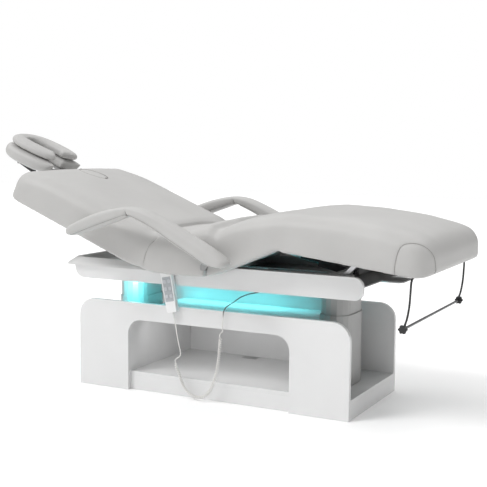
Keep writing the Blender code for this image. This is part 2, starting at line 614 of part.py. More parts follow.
# ---- armrests ----
def build_armrests(leather, steel):
    x0, z0 = ARM_PIVOT
    top = [(-0.5240, 0.6720), (-0.5080, 0.6920), (-0.4600, 0.7160), (-0.3800, 0.7480), (-0.3000, 0.7680),
           (-0.2350, 0.7760), (-0.1700, 0.7680), (-0.1000, 0.7420), (-0.0100, 0.7010), (0.0800, 0.6580),
           (0.1400, 0.6270), (0.1850, 0.5960), (0.2040, 0.5760)]
    bottom = [(0.1980, 0.5620), (0.1650, 0.5560), (0.1100, 0.5660), (0.0600, 0.5940), (-0.0300, 0.6420),
              (-0.1200, 0.6940), (-0.1800, 0.7260), (-0.2350, 0.7400), (-0.3000, 0.7260), (-0.4000, 0.6900),
              (-0.4850, 0.6610), (-0.5170, 0.6530)]
    outline = [(x - x0, z - z0) for x, z in top + bottom]
    for name, side in (("near", -1), ("far", 1)):
        y0, y1 = sorted((side * (ARM_Y - ARM_WIDTH / 2), side * (ARM_Y + ARM_WIDTH / 2)))
        arm = prism("armrest_" + name, outline, "Y", y0, y1, leather, True)
        soften = arm.modifiers.new("Soft edges", "BEVEL")
        soften.width = 0.010
        soften.segments = 2
        soften.limit_method = "ANGLE"
        soften.angle_limit = radians(60)
        bore = rod("arm_bore_" + name, (0, side * 0.3, 0), (0, side * 0.462, 0), 0.0085, leather, 20)
        cut(arm, bore)
        place([arm, bore], (x0, 0, z0))

        low = BOARD_LEVEL - 0.0058
        bracket = box("armrest_bracket_" + name, (0.050, *sorted((side * 0.150, side * 0.388))[:1], low),
                      (0.066, max(side * 0.150, side * 0.388), low + 0.016), steel)
        plate = rounded([(0.048, low + 0.001, 0.004), (0.068, low + 0.001, 0.004), (x0 + 0.014, z0 - 0.004, 0.010),
                         (x0 + 0.010, z0 + 0.014, 0.010), (x0 - 0.014, z0 + 0.012, 0.010), (0.048, low + 0.018, 0.004)], 3)
        p0, p1 = sorted((side * 0.3825, side * 0.3895))
        join(bracket, prism("arm_plate_" + name, plate, "Y", p0, p1, steel))
        join(bracket, rod("arm_pin_" + name, (x0, side * 0.385, z0), (x0, side * 0.458, z0), 0.0080, steel, 20))


# ---- face cradle ----
def horseshoe(outer_x, outer_y, inner_x, inner_y, mouth, steps=10):
    """U-shaped outline, open towards +X, centred on the origin."""
    def arc(half_x, half_y, end_x):
        points = [(end_x, -half_y * 0.80)]
        for k in range(1, steps):
            turn = -pi / 2 - pi * k / steps
            points.append((half_x * cos(turn) * 1.0, half_y * sin(turn)))
        points.append((end_x, half_y * 0.80))
        return points

    outer = [(outer_x * 0.55, -outer_y)] + arc(outer_x, outer_y, 0.0)[1:-1] + [(outer_x * 0.55, outer_y)]
    inner = [(inner_x * 0.60, inner_y)] + list(reversed(arc(inner_x, inner_y, 0.0)[1:-1])) + [(inner_x * 0.60, -inner_y)]
    tip_far = [(outer_x * 0.90, outer_y * 0.86), (outer_x, outer_y * 0.62), (outer_x * 0.96, mouth * 1.15)]
    tip_near = [(outer_x * 0.96, -mouth * 1.15), (outer_x, -outer_y * 0.62), (outer_x * 0.90, -outer_y * 0.86)]
    return outer + tip_far + inner + tip_near


LEVER_PIVOT = (-0.2050, -0.0040)       # clamp lever pin, from the cradle hinge, cradle level


def build_cradle(leather, dark_steel, black, plastic):
    """Modelled level about the cradle hinge, then tilted."""
    px, pz = CRADLE_PIVOT
    shift = -0.110
    lower_z, lower_h, upper_h = 0.0358, 0.0500, 0.0390

    def pad(name, sizes, middle, z0, height, inset, sweep):
        """Horseshoe pad; sweep raises the underside of the arm ends, to clear the backrest."""
        outline = horseshoe(*sizes)
        loops = []
        for level, grow in ((0.0, -inset), (0.25, 0.0), (0.75, 0.0), (1.0, -inset)):
            ring = []
            for x, y in outline:
                lift = max(0.0, middle + x + 0.030) * sweep * (1.0 - level)
                ring.append((middle + x * (1 + grow / sizes[0]), y * (1 + grow / sizes[1]),
                             z0 + height * level + lift))
            loops.append(ring)
        return loft(name, loops, leather)

    lower = pad("cradle_lower_pad", (0.160, 0.140, 0.085, 0.040, 0.030), shift, lower_z, lower_h, 0.006, 0.44)
    upper = pad("cradle_face_pad", (0.132, 0.126, 0.078, 0.036, 0.026), shift - 0.008,
                lower_z + lower_h + GAP, upper_h, 0.010, 0.0)
    plate = [(shift + x, y) for x, y in horseshoe(0.112, 0.108, 0.082, 0.045, 0.034)]
    platform = prism("cradle_platform", plate, "Z", lower_z - 0.0085, lower_z - GAP, plastic)
    web = box("platform_web", (shift + 0.086, -0.060, lower_z - 0.0085), (shift + 0.104, 0.060, lower_z - 0.0007), plastic)
    join(platform, web)
    leg = rounded([(-0.012, -0.012, 0.010), (0.012, -0.012, 0.010), (0.008, lower_z - 0.0055, 0),
                   (-0.024, lower_z - 0.0055, 0)], 3)
    for i, y in enumerate((-0.034, 0.024)):
        ear = prism("cradle_ear_%d" % i, leg, "Y", y, y + 0.010, dark_steel)
        cut(ear, rod("cradle_ear_hole_%d" % i, (0, -0.1, 0), (0, 0.1, 0), 0.0055, dark_steel))
        join(platform, ear)
    lever_x, lever_z = LEVER_PIVOT
    for side in (-1, 1):
        y0, y1 = sorted((side * 0.0150, side * 0.0210))
        lug = rounded([(lever_x - 0.009, lower_z - 0.007, 0), (lever_x - 0.007, lever_z - 0.007, 0.006),
                       (lever_x + 0.007, lever_z - 0.007, 0.006), (lever_x + 0.009, lower_z - 0.007, 0)], 3)
        join(platform, prism("lever_lug_%d" % side, lug, "Y", y0, y1, dark_steel))
    join(platform, rod("lever_pin", (lever_x, -0.018, lever_z), (lever_x, 0.018, lever_z), 0.0030, dark_steel, 12))
    bridge = box("lever_bridge", (shift - 0.136, -0.030, lower_z - 0.0085), (shift - 0.088, 0.030, lower_z - 0.0007), plastic)
    join(platform, bridge)
    guides = [o for o in bpy.data.objects if o.name.startswith(("platform_web", "cradle_ear", "lever_"))]
    place([lower, upper, platform] + guides, (px, 0, pz), CRADLE_TILT)

    handle = rounded([(-0.012, -0.0065, 0.006), (0.085, -0.0065, 0.005), (0.085, 0.0045, 0.005),
                      (-0.012, 0.0065, 0.006)], 3)
    lever = prism("cradle_lever", handle, "Y", -0.0130, 0.0130, black)
    bore = rod("cradle_lever_bore", (0, -0.02, 0), (0, 0.02, 0), 0.0034, black, 12)
    cut(lever, bore)
    swing = Matrix.Rotation(CRADLE_TILT, 3, "Y") @ Vector((lever_x, 0, lever_z))
    place([lever, bore], (px + swing.x, 0, pz + swing.z), CRADLE_TILT + radians(8.0))
    build_cradle_frame(dark_steel)


def build_cradle_frame(dark_steel):
    """Two rods that plug into the backrest board, joined by a cross tube with the tilt pin."""
    along = Vector((-cos(BACK_ANGLE), 0, sin(BACK_ANGLE)))
    up = Vector((sin(BACK_ANGLE), 0, cos(BACK_ANGLE)))
    hinge = Vector((BACK_HINGE[0], 0, BACK_HINGE[1]))
    drop = BOARD_LEVEL - BACK_HINGE[1] - CARRIER / 2 - CRADLE_ROD_DROP
    start = hinge + along * 0.560 + up * drop
    end = hinge + along * 0.790 + up * drop
    side = Vector((0, CRADLE_ROD_Y, 0))
    frame = rod("cradle_frame", start - side, end - side, 0.0070, dark_steel, 12)
    join(frame, rod("cradle_rod_far", start + side, end + side, 0.0070, dark_steel, 12))
    bar = end - along * 0.008
    cross = Vector((0, CRADLE_ROD_Y + 0.010, 0))
    join(frame, rod("cradle_cross", bar - cross, bar + cross, 0.0090, dark_steel, 12))
    px, pz = CRADLE_PIVOT
    pin = Vector((px, 0, pz))
    for i, y in enumerate((-0.0500, 0.0400)):
        lift = pin - bar
        normal = Vector((-lift.z, 0, lift.x)).normalized() * 0.009
        reach = lift.normalized() * 0.010
        corners = [bar - normal, bar + normal, pin + normal + reach, pin - normal + reach]
        outline = [(c.x, c.z) for c in corners]
        join(frame, prism("tilt_plate_%d" % i, outline, "Y", y, y + 0.010, dark_steel))
    join(frame, rod("tilt_pin", (px, -0.0550, pz), (px, 0.0550, pz), 0.0050, dark_steel, 16))


# ---- actuators and calf link ----
def actuator(name, tail, head, body_length, width, height, tube_r, rod_r, casing, chrome):
    """Linear actuator lying from its tail pin towards its head pin, both given as (x, z)."""
    tail_v, head_v = Vector((tail[0], 0, tail[1])), Vector((head[0], 0, head[1]))
    length = (head_v - tail_v).length
    angle = Vector((1.0, 0.0)).angle_signed(Vector((head_v.x - tail_v.x, head_v.z - tail_v.z)))
    body = box(name + "_body", (0.012, -width / 2, -height / 2), (body_length * 0.62, width / 2, height / 2), casing)
    join(body, box(name + "_tail", (-0.008, -0.012, -0.008), (0.020, 0.012, 0.008), casing))
    cut(body, rod(name + "_tail_bore", (0, -0.05, 0), (0, 0.05, 0), 0.0044, casing, 16))
    join(body, rod(name + "_tube", (body_length * 0.5, 0, 0), (body_length, 0, 0), tube_r, casing, 16))
    cut(body, rod(name + "_bore", (0.040, 0, 0), (body_length + 0.05, 0, 0), rod_r + 0.0008, casing, 16))
    shaft = rod(name + "_rod", (body_length * 0.50, 0, 0), (length - 0.004, 0, 0), rod_r, chrome, 16)
    join(shaft, box(name + "_eye", (length - 0.012, -0.0085, -0.0065), (length + 0.005, 0.0085, 0.0065), chrome))
    pieces = [body, shaft] + [o for o in bpy.data.objects if o.name.startswith(name + "_")
                              and o not in (body, shaft)]
    place(pieces, tail_v, angle)
    return body, shaft


def build_actuators(casing, chrome):
    lug = Matrix.Rotation(BACK_ANGLE, 3, "Y") @ Vector((BACK_LUG[0], 0, BACK_LUG[1]))
    back_pin = (BACK_HINGE[0] + lug.x, BACK_HINGE[1] + lug.z)
    actuator("back_actuator", BACK_TAIL, back_pin, 0.190, 0.052, 0.032, 0.0150, 0.0090, casing, chrome)
    lug = Matrix.Rotation(-THIGH_ANGLE, 3, "Y") @ Vector((LEG_LUG[0], 0, LEG_LUG[1]))
    leg_pin = (HIP_HINGE[0] + lug.x, HIP_HINGE[1] + lug.z)
    actuator("leg_actuator", LEG_TAIL, leg_pin, 0.230, 0.060, 0.0280, 0.0110, 0.0070, casing, chrome)


BACK_TAIL = (0.0195, 0.4900)
LEG_TAIL = (0.5200, 0.5240)


def build_calf_link(steel):
    """Swinging support of the calf board: two bars joined by a cross tube."""
    fx, fz = LINK_FOOT
    knee = knee_point()
    head = Matrix.Rotation(-CALF_ANGLE, 3, "Y") @ Vector((LINK_HEAD_LOCAL[0], 0, LINK_HEAD_LOCAL[1]))
    hx, hz = knee[0] + head.x - fx, knee[1] + head.z - fz
    length = sqrt(hx * hx + hz * hz)
    half = 0.0080
    bar = rounded([(-0.009, -half, 0.0075), (length - 0.012, -half, 0.0075), (length - 0.012, half, 0.0075),
                   (-0.009, half, 0.0075)], 4)
    link = prism("calf_link", bar, "Y", -0.196, -0.184, steel)
    join(link, prism("calf_link_far_bar", bar, "Y", 0.184, 0.196, steel))
    for side in (-1, 1):
        cut(link, rod("link_bore_%d" % side, (0, side * 0.15, 0), (0, side * 0.22, 0), 0.0054, steel, 16))
    join(link, rod("link_tube", (length * 0.62, -0.188, 0), (length * 0.62, 0.188, 0), 0.0060, steel, 12))
    angle = Vector((1.0, 0.0)).angle_signed(Vector((hx, hz)))
    guides = [o for o in bpy.data.objects if o.name.startswith(("calf_link_far", "link_bore", "link_tube"))]
    place([link] + guides, (fx, 0, fz), angle)


# ---- hand control and its cord ----
def build_handset(plastic, grey, rubber, cord):
    width, thick, length = HANDSET_SIZE
    front, back = HANDSET_BACK_Y - thick, HANDSET_BACK_Y
    shell = rounded([(-width / 2 + 0.003, -length, 0.007), (width / 2 - 0.003, -length, 0.007), (width / 2, 0, 0.008),
                     (-width / 2, 0, 0.008)], 4)
    case = prism("handset_case", shell, "Y", front, back, plastic, True)
    hook = rounded([(-width / 2 + 0.004, -0.016, 0.003), (width / 2 - 0.004, -0.016, 0.003),
                    (width / 2 - 0.004, -0.001, 0.003), (-width / 2 + 0.004, -0.001, 0.003)], 2)
    join(case, prism("handset_hook", hook, "Y", back - 0.002, -BASE_Y - GAP, plastic))
    guides = [bpy.data.objects["handset_hook"]]
    buttons = []
    for row in range(3):
        for column in range(2):
            u = (column - 0.5) * 0.020
            v = -0.042 - row * 0.030
            size = 0.0068
            outline = rounded([(u - size, v - size, 0.003), (u + size, v - size, 0.003), (u + size, v + size, 0.003),
                               (u - size, v + size, 0.003)], 2)
            wider = rounded([(u - size - 0.0005, v - size - 0.0005, 0.003), (u + size + 0.0005, v - size - 0.0005, 0.003),
                             (u + size + 0.0005, v + size + 0.0005, 0.003), (u - size - 0.0005, v + size + 0.0005, 0.003)], 2)
            number = row * 2 + column + 1
            pocket = prism("button_pocket_%d" % number, wider, "Y", front - 0.01, front + 0.0035, plastic)
            cut(case, pocket)
            guides.append(pocket)
            buttons.append(prism("button_%d" % number, outline, "Y", front - 0.0016, front + 0.0018, grey))
    place([case] + guides + buttons, (HANDSET_TOP[0], 0, HANDSET_TOP[1]), HANDSET_LEAN)

    down = Vector((-sin(HANDSET_LEAN), 0, -cos(HANDSET_LEAN)))
    foot = Vector((HANDSET_TOP[0], HANDSET_BACK_Y - thick / 2, HANDSET_TOP[1])) + down * length
    relief_end = foot + down * 0.0240
    taper("cord_relief", foot + down * GAP, relief_end, 0.0046, 0.0030, rubber)

    y = foot.y
    lead = [relief_end + down * GAP, (-0.1265, y, 0.2950), (-0.1200, y, 0.2580), (-0.1105, y, 0.2180), (-0.1035, y, 0.1900),
            (-0.1060, y, 0.1720), (-0.1190, y, 0.1640), (-0.1285, y, 0.1545)]
    meet = [(-0.12695, y, 0.1477)]
    tube("cord_lead", smooth_route(lead, 0.0110) + meet, CORD_D / 2, cord, 2)
    curl = [(-0.1267, y, 0.1467), (-0.1210, y, 0.1230), (-0.1070, y, 0.0940), (-0.0960, y, 0.0660), (-0.0790, y, 0.0390),
            (-0.0580, y, 0.0220), (-0.0330, y, 0.0145), (-0.0080, y, 0.0165), (0.0120, y, 0.0270),
            (0.0280, y, 0.0440), (0.0420, y, 0.0680), (0.0530, y, 0.0960), (0.0630, y, 0.1350),
            (0.0700, y, 0.1775), (0.0740, y, 0.2200), (0.0770, y, 0.2570), (0.0810, y, 0.2850),
            (0.0850, y, 0.3060)]
    tube("cord_curl", smooth_route(curl, 0.0190), CURL_D / 2, cord, 2)
    tail = [(0.0850, y, 0.3064), (0.0880, y, 0.3400), (0.0905, y, 0.3660), (0.0990, y, 0.3860), (0.1200, y, 0.4010),
            (0.1430, y, 0.4170), (0.1650, y + 0.004, 0.4330), (0.1900, y + 0.016, 0.4440), (0.2150, y + 0.033, 0.4500),
            (0.2350, y + 0.048, 0.4540), (0.2470, y + 0.058, 0.4600), (0.2500, y + 0.061, 0.4700)]
    meet = [(0.2500, y + 0.061, 0.4797)]
    tube("cord_tail", smooth_route(tail, 0.0110) + meet, CORD_D / 2, cord, 2)
    gland = Vector((0.2500, y + 0.061, 0.4800))
    taper("cord_gland", Vector((gland.x, gland.y, DECK_TOP - DECK_THICK - GAP)), gland, 0.0080, 0.0035, rubber)


def taper(name, start, end, radius_start, radius_end, mat):
    """Tapered strain relief between two points."""
    bm = bmesh.new()
    axis = end - start
    bmesh.ops.create_cone(bm, cap_ends=True, segments=14, radius1=radius_start, radius2=radius_end, depth=axis.length)
    turn = axis.to_track_quat("Z", "Y").to_matrix().to_4x4()
    bmesh.ops.transform(bm, matrix=Matrix.Translation((start + end) / 2) @ turn, verts=bm.verts)
    return finish_mesh(name, bm, mat, True)


def main():
    clear_scene()
    white = material("white_laminate", (0.83, 0.83, 0.83), 0.25)
    shell = material("moulded_shell", (0.80, 0.80, 0.79), 0.35)
    grey_steel = material("column_grey", (0.27, 0.27, 0.26), 0.45, 0.3)
    dark_steel = material("frame_grey", (0.16, 0.16, 0.16), 0.5, 0.4)
    chrome = material("bright_steel", (0.60, 0.60, 0.60), 0.25, 1.0)
    leather = material("grey_leather", (0.60, 0.59, 0.57), 0.5)
    wood = material("carrier_board", (0.23, 0.22, 0.21), 0.7)
    black = material("black_plastic", (0.02, 0.02, 0.02), 0.45)
    plastic = material("white_plastic", (0.80, 0.80, 0.80), 0.35)
    keypad = material("keypad_grey", (0.45, 0.46, 0.48), 0.4)
    cord = material("cord_white", (0.78, 0.77, 0.75), 0.5)
    cyan = material("cyan_light", (0.15, 0.80, 0.85), 0.4, 0.0, 4.0)
    relief = material("relief_rubber", (0.70, 0.70, 0.69), 0.6)

    build_base(white, grey_steel, keypad)
    build_tray(white, grey_steel, dark_steel, cyan, black, shell)
    build_frame(dark_steel, wood, chrome)
    build_seat(leather)
    build_back(leather, wood, leather, dark_steel)
    build_thigh(leather, wood, dark_steel)
    build_calf(leather, wood, dark_steel, black)
    build_roll_bar(chrome, black)
    build_armrests(leather, chrome)
    build_cradle(leather, dark_steel, black, black)
    build_actuators(black, chrome)
    build_calf_link(chrome)
    build_handset(plastic, keypad, relief, cord)


main()
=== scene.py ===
"""Looks of the electric facial treatment bed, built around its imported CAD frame.

Everything is in metres in the row frame: +X to the foot end, -Y the side with the hand control, +Z up.
"""
import json
from math import atan2, cos, hypot, pi, radians, sin, sqrt

import bmesh
import bpy
import numpy as np
from mathutils import Matrix, Vector
from mathutils.bvhtree import BVHTree

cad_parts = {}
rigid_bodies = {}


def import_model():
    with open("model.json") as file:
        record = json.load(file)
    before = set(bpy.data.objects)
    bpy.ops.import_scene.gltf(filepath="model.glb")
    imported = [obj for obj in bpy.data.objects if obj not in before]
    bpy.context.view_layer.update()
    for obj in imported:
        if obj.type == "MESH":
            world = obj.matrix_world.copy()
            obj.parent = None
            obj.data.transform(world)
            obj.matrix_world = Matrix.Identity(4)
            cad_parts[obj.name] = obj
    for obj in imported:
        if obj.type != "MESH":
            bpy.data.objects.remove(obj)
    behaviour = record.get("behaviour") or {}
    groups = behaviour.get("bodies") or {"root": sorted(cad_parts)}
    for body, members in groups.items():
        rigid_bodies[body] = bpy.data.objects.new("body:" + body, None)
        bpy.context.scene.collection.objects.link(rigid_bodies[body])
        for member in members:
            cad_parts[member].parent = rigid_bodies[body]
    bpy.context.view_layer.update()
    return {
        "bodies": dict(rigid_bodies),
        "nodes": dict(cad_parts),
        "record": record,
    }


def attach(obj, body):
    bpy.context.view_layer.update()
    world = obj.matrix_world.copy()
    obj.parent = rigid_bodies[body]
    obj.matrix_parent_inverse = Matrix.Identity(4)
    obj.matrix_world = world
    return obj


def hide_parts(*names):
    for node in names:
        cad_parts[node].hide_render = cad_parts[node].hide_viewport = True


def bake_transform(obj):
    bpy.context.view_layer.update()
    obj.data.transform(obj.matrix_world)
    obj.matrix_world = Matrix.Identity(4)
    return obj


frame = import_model()
NODES = frame["nodes"]
BODIES = frame["bodies"]
COLLECTION = bpy.context.scene.collection

# places taken over from the CAD source
BACK_HINGE, BACK_ANGLE = Vector((-0.207, 0.0, 0.590)), radians(22.0)
HIP_HINGE, THIGH_ANGLE = Vector((0.085, 0.0, 0.5465)), radians(22.6)
THIGH_LENGTH = 0.2908
CALF_ANGLE = radians(-7.0)
KNEE = HIP_HINGE + Vector((THIGH_LENGTH * cos(THIGH_ANGLE), 0, THIGH_LENGTH * sin(THIGH_ANGLE)))
CRADLE_PIVOT, CRADLE_TILT = Vector((-0.945, 0.0, 0.856)), radians(21.0)
HANDSET_TOP, HANDSET_LEAN = Vector((-0.1705, 0.0, 0.5130)), radians(-11.0)
BED_HALF = 0.378


# ---- camera ----
CAMERA_PLACE = (1.8706, -3.5541, 1.0281)
CAMERA_YAW, CAMERA_PITCH, CAMERA_ROLL = radians(27.37), radians(5.99), radians(0.483)
CAMERA_LENS = 71.81


def make_camera():
    level = cos(CAMERA_PITCH)
    ahead = Vector((-sin(CAMERA_YAW) * level, cos(CAMERA_YAW) * level, -sin(CAMERA_PITCH)))
    right = Vector((cos(CAMERA_YAW), sin(CAMERA_YAW), 0))
    up = right.cross(ahead)
    x_axis = right * cos(CAMERA_ROLL) + up * sin(CAMERA_ROLL)
    y_axis = up * cos(CAMERA_ROLL) - right * sin(CAMERA_ROLL)
    data = bpy.data.cameras.new("camera")
    data.sensor_width = 36.0
    data.lens = CAMERA_LENS
    camera = bpy.data.objects.new("camera", data)
    COLLECTION.objects.link(camera)
    turn = Matrix((x_axis, y_axis, -ahead)).transposed().to_4x4()
    camera.matrix_world = Matrix.Translation(CAMERA_PLACE) @ turn
    bpy.context.scene.camera = camera


# ---- node materials ----
def principled(name, color, roughness, metallic=0.0, coat=0.0):
    mat = bpy.data.materials.new(name)
    mat.use_nodes = True
    shader = mat.node_tree.nodes["Principled BSDF"]
    shader.inputs["Base Color"].default_value = (*color, 1.0)
    shader.inputs["Roughness"].default_value = roughness
    shader.inputs["Metallic"].default_value = metallic
    shader.inputs["Coat Weight"].default_value = coat
    mat.diffuse_color = (*color, 1.0)
    return mat, mat.node_tree, shader


def add(tree, kind, **values):
    node = tree.nodes.new(kind)
    for key, value in values.items():
        if key in node.inputs:
            node.inputs[key].default_value = value
        else:
            setattr(node, key, value)
    return node


def object_place(tree):
    return add(tree, "ShaderNodeTexCoord").outputs["Object"]


def texture(tree, place, scale, detail=4.0, kind="ShaderNodeTexNoise", **values):
    node = add(tree, kind)
    node.inputs["Scale"].default_value = scale
    if "Detail" in node.inputs:
        node.inputs["Detail"].default_value = detail
    for key, value in values.items():
        setattr(node, key, value)
    tree.links.new(place, node.inputs["Vector"])
    return node


def ramp(tree, source, low, high, low_at=0.35, high_at=0.65):
    node = add(tree, "ShaderNodeValToRGB")
    node.color_ramp.elements[0].position = low_at
    node.color_ramp.elements[1].position = high_at
    node.color_ramp.elements[0].color = (*low, 1.0)
    node.color_ramp.elements[1].color = (*high, 1.0)
    tree.links.new(source, node.inputs["Fac"])
    return node.outputs["Color"]


def vary_roughness(tree, shader, source, low, high):
    node = add(tree, "ShaderNodeMapRange")
    node.inputs["To Min"].default_value = low
    node.inputs["To Max"].default_value = high
    tree.links.new(source, node.inputs["Value"])
    tree.links.new(node.outputs["Result"], shader.inputs["Roughness"])


def bump(tree, shader, height, strength, distance, before=None):
    node = add(tree, "ShaderNodeBump")
    node.inputs["Strength"].default_value = strength
    node.inputs["Distance"].default_value = distance
    tree.links.new(height, node.inputs["Height"])
    if before is not None:
        tree.links.new(before.outputs["Normal"], node.inputs["Normal"])
    tree.links.new(node.outputs["Normal"], shader.inputs["Normal"])
    return node


def tinted(color, share):
    return tuple(c * (1 - share) for c in color), tuple(min(1.0, c * (1 + share)) for c in color)


def leather_material(name, color):
    """Soft synthetic leather: fine pebbled grain, faint broad creases, slightly uneven sheen."""
    mat, tree, shader = principled(name, color, 0.5)
    place = object_place(tree)
    cloudy = texture(tree, place, 5.0, 5.0)
    low, high = tinted(color, 0.035)
    tree.links.new(ramp(tree, cloudy.outputs["Fac"], low, high), shader.inputs["Base Color"])
    vary_roughness(tree, shader, cloudy.outputs["Fac"], 0.42, 0.56)
    grain = texture(tree, place, 700.0, kind="ShaderNodeTexVoronoi", feature="DISTANCE_TO_EDGE")
    first = bump(tree, shader, grain.outputs["Distance"], 0.25, 0.0006)
    broad = texture(tree, place, 26.0, 3.0)
    bump(tree, shader, broad.outputs["Fac"], 0.10, 0.0030, first)
    shader.inputs["Specular IOR Level"].default_value = 0.35
    return mat


def laminate_material(name, color):
    """Glossy laminate board with barely visible mottling and a fine orange-peel."""
    mat, tree, shader = principled(name, color, 0.22, coat=0.15)
    place = object_place(tree)
    cloudy = texture(tree, place, 7.0, 3.0)
    low, high = tinted(color, 0.012)
    tree.links.new(ramp(tree, cloudy.outputs["Fac"], low, high), shader.inputs["Base Color"])
    vary_roughness(tree, shader, cloudy.outputs["Fac"], 0.17, 0.27)
    peel = texture(tree, place, 160.0, 2.0)
    bump(tree, shader, peel.outputs["Fac"], 0.04, 0.0010)
    return mat


def paint_material(name, color, roughness, metallic, share=0.05, scale=420.0, strength=0.12):
    """Powder coat or moulded plastic: fine grain, patchy gloss."""
    mat, tree, shader = principled(name, color, roughness, metallic)
    place = object_place(tree)
    patch = texture(tree, place, 14.0, 4.0)
    low, high = tinted(color, share)
    tree.links.new(ramp(tree, patch.outputs["Fac"], low, high), shader.inputs["Base Color"])
    vary_roughness(tree, shader, patch.outputs["Fac"], roughness - 0.06, roughness + 0.06)
    grain = texture(tree, place, scale, 2.0)
    bump(tree, shader, grain.outputs["Fac"], strength, 0.0006)
    return mat


def steel_material(name, color, roughness, stretch):
    """Steel with fine lines along one direction."""
    mat, tree, shader = principled(name, color, roughness, 1.0)
    place = object_place(tree)
    mapping = add(tree, "ShaderNodeMapping")
    mapping.inputs["Scale"].default_value = stretch
    tree.links.new(place, mapping.inputs["Vector"])
    lines = texture(tree, mapping.outputs["Vector"], 60.0, 3.0)
    low, high = tinted(color, 0.06)
    tree.links.new(ramp(tree, lines.outputs["Fac"], low, high), shader.inputs["Base Color"])
    vary_roughness(tree, shader, lines.outputs["Fac"], roughness - 0.05, roughness + 0.07)
    bump(tree, shader, lines.outputs["Fac"], 0.05, 0.0004)
    return mat


def glow_material(name, color, strength):
    """Lit strip that shines only from the faces that look down."""
    mat, tree, shader = principled(name, color, 0.4)
    shader.inputs["Emission Color"].default_value = (*color, 1.0)
    facing = add(tree, "ShaderNodeSeparateXYZ")
    tree.links.new(add(tree, "ShaderNodeNewGeometry").outputs["Normal"], facing.inputs["Vector"])
    below = add(tree, "ShaderNodeMapRange")
    below.inputs["From Min"].default_value = -0.2
    below.inputs["From Max"].default_value = -0.8
    below.inputs["To Max"].default_value = strength
    tree.links.new(facing.outputs["Z"], below.inputs["Value"])
    tree.links.new(below.outputs["Result"], shader.inputs["Emission Strength"])
    haze = texture(tree, object_place(tree), 30.0, 2.0)
    low, high = tinted(color, 0.04)
    tree.links.new(ramp(tree, haze.outputs["Fac"], low, high), shader.inputs["Base Color"])
    return mat


def cord_material():
    """Pale jacket with painted shade: the straight tail is painted deep grey where it runs in the shade under
    the tray.
    """
    # painted shade: the deep grey stands in for the shade under the tray, not for a colour of the jacket
    pale, painted_shade_grey = (0.74, 0.73, 0.71), (0.10, 0.095, 0.09)
    mat, tree, shader = principled("cord jacket", pale, 0.5)
    place = object_place(tree)
    axes = add(tree, "ShaderNodeSeparateXYZ")
    tree.links.new(place, axes.inputs["Vector"])
    # painted shade mask: between 0.340 m and 0.372 m up, the tail fades into the painted shade grey
    height = add(tree, "ShaderNodeMapRange")
    height.inputs["From Min"].default_value = 0.340
    height.inputs["From Max"].default_value = 0.372
    tree.links.new(axes.outputs["Z"], height.inputs["Value"])
    shade = ramp(tree, height.outputs["Result"], pale, painted_shade_grey, 0.1, 0.9)
    tree.links.new(shade, shader.inputs["Base Color"])
    grain = texture(tree, place, 420.0, 2.0)
    bump(tree, shader, grain.outputs["Fac"], 0.12, 0.0004)
    return mat


def lay_on(obj, mat):
    obj.data.materials.clear()
    obj.data.materials.append(mat)


# ---- mesh helpers ----
def new_object(name, mesh):
    obj = bpy.data.objects.new(name, mesh)
    COLLECTION.objects.link(obj)
    return obj


def from_bmesh(name, bm, smooth=True):
    bmesh.ops.recalc_face_normals(bm, faces=bm.faces)
    mesh = bpy.data.meshes.new(name)
    bm.to_mesh(mesh)
    bm.free()
    if smooth:
        mesh.shade_smooth()
    return new_object(name, mesh)


def loft(name, loops):
    """Closed skin over a row of equal-length loops, with a flat cap at both ends."""
    bm = bmesh.new()
    rings = [[bm.verts.new(p) for p in loop] for loop in loops]
    count = len(rings[0])
    for first, second in zip(rings, rings[1:]):
        for i in range(count):
            j = (i + 1) % count
            bm.faces.new((first[i], first[j], second[j], second[i]))
    bm.faces.new(list(reversed(rings[0])))
    bm.faces.new(rings[-1])
    return from_bmesh(name, bm)


def smooth_values(rows, steps):
    """Catmull-Rom through rows of numbers, with that many steps between neighbours."""
    rows = [np.array(r, float) for r in rows]
    ends = [2 * rows[0] - rows[1]] + rows + [2 * rows[-1] - rows[-2]]
    out = []
    for a, b, c, d in zip(ends, ends[1:], ends[2:], ends[3:]):
        for k in range(steps):
            t = k / steps
            out.append(0.5 * (2 * b + (c - a) * t + (2 * a - 5 * b + 4 * c - d) * t ** 2
                              + (3 * b - a - 3 * c + d) * t ** 3))
    return out + [rows[-1]]


def apply_modifiers(obj):
    evaluated = obj.evaluated_get(bpy.context.evaluated_depsgraph_get())
    mesh = bpy.data.meshes.new_from_object(evaluated)
    obj.modifiers.clear()
    obj.data = mesh
    return obj


def points_of(obj):
    return np.array([v.co for v in obj.data.vertices], float).reshape(-1, 3)


def set_points(obj, points):
    obj.data.vertices.foreach_set("co", points.astype(np.float32).ravel())
    obj.data.update()


def relax(obj, rounds):
    """Smooth a cover, apart from what rests on its board."""
    mod = obj.modifiers.new("relax", "SMOOTH")
    mod.iterations = rounds
    mod.factor = 0.5
    if "pin" in obj.vertex_groups:
        mod.vertex_group = "pin"
        mod.invert_vertex_group = True
    return apply_modifiers(obj)


CLOTH_FRAMES = 20
CLOTH_PRESSURE = 4.0


def nothing_pinned(points):
    return np.zeros(len(points), bool)


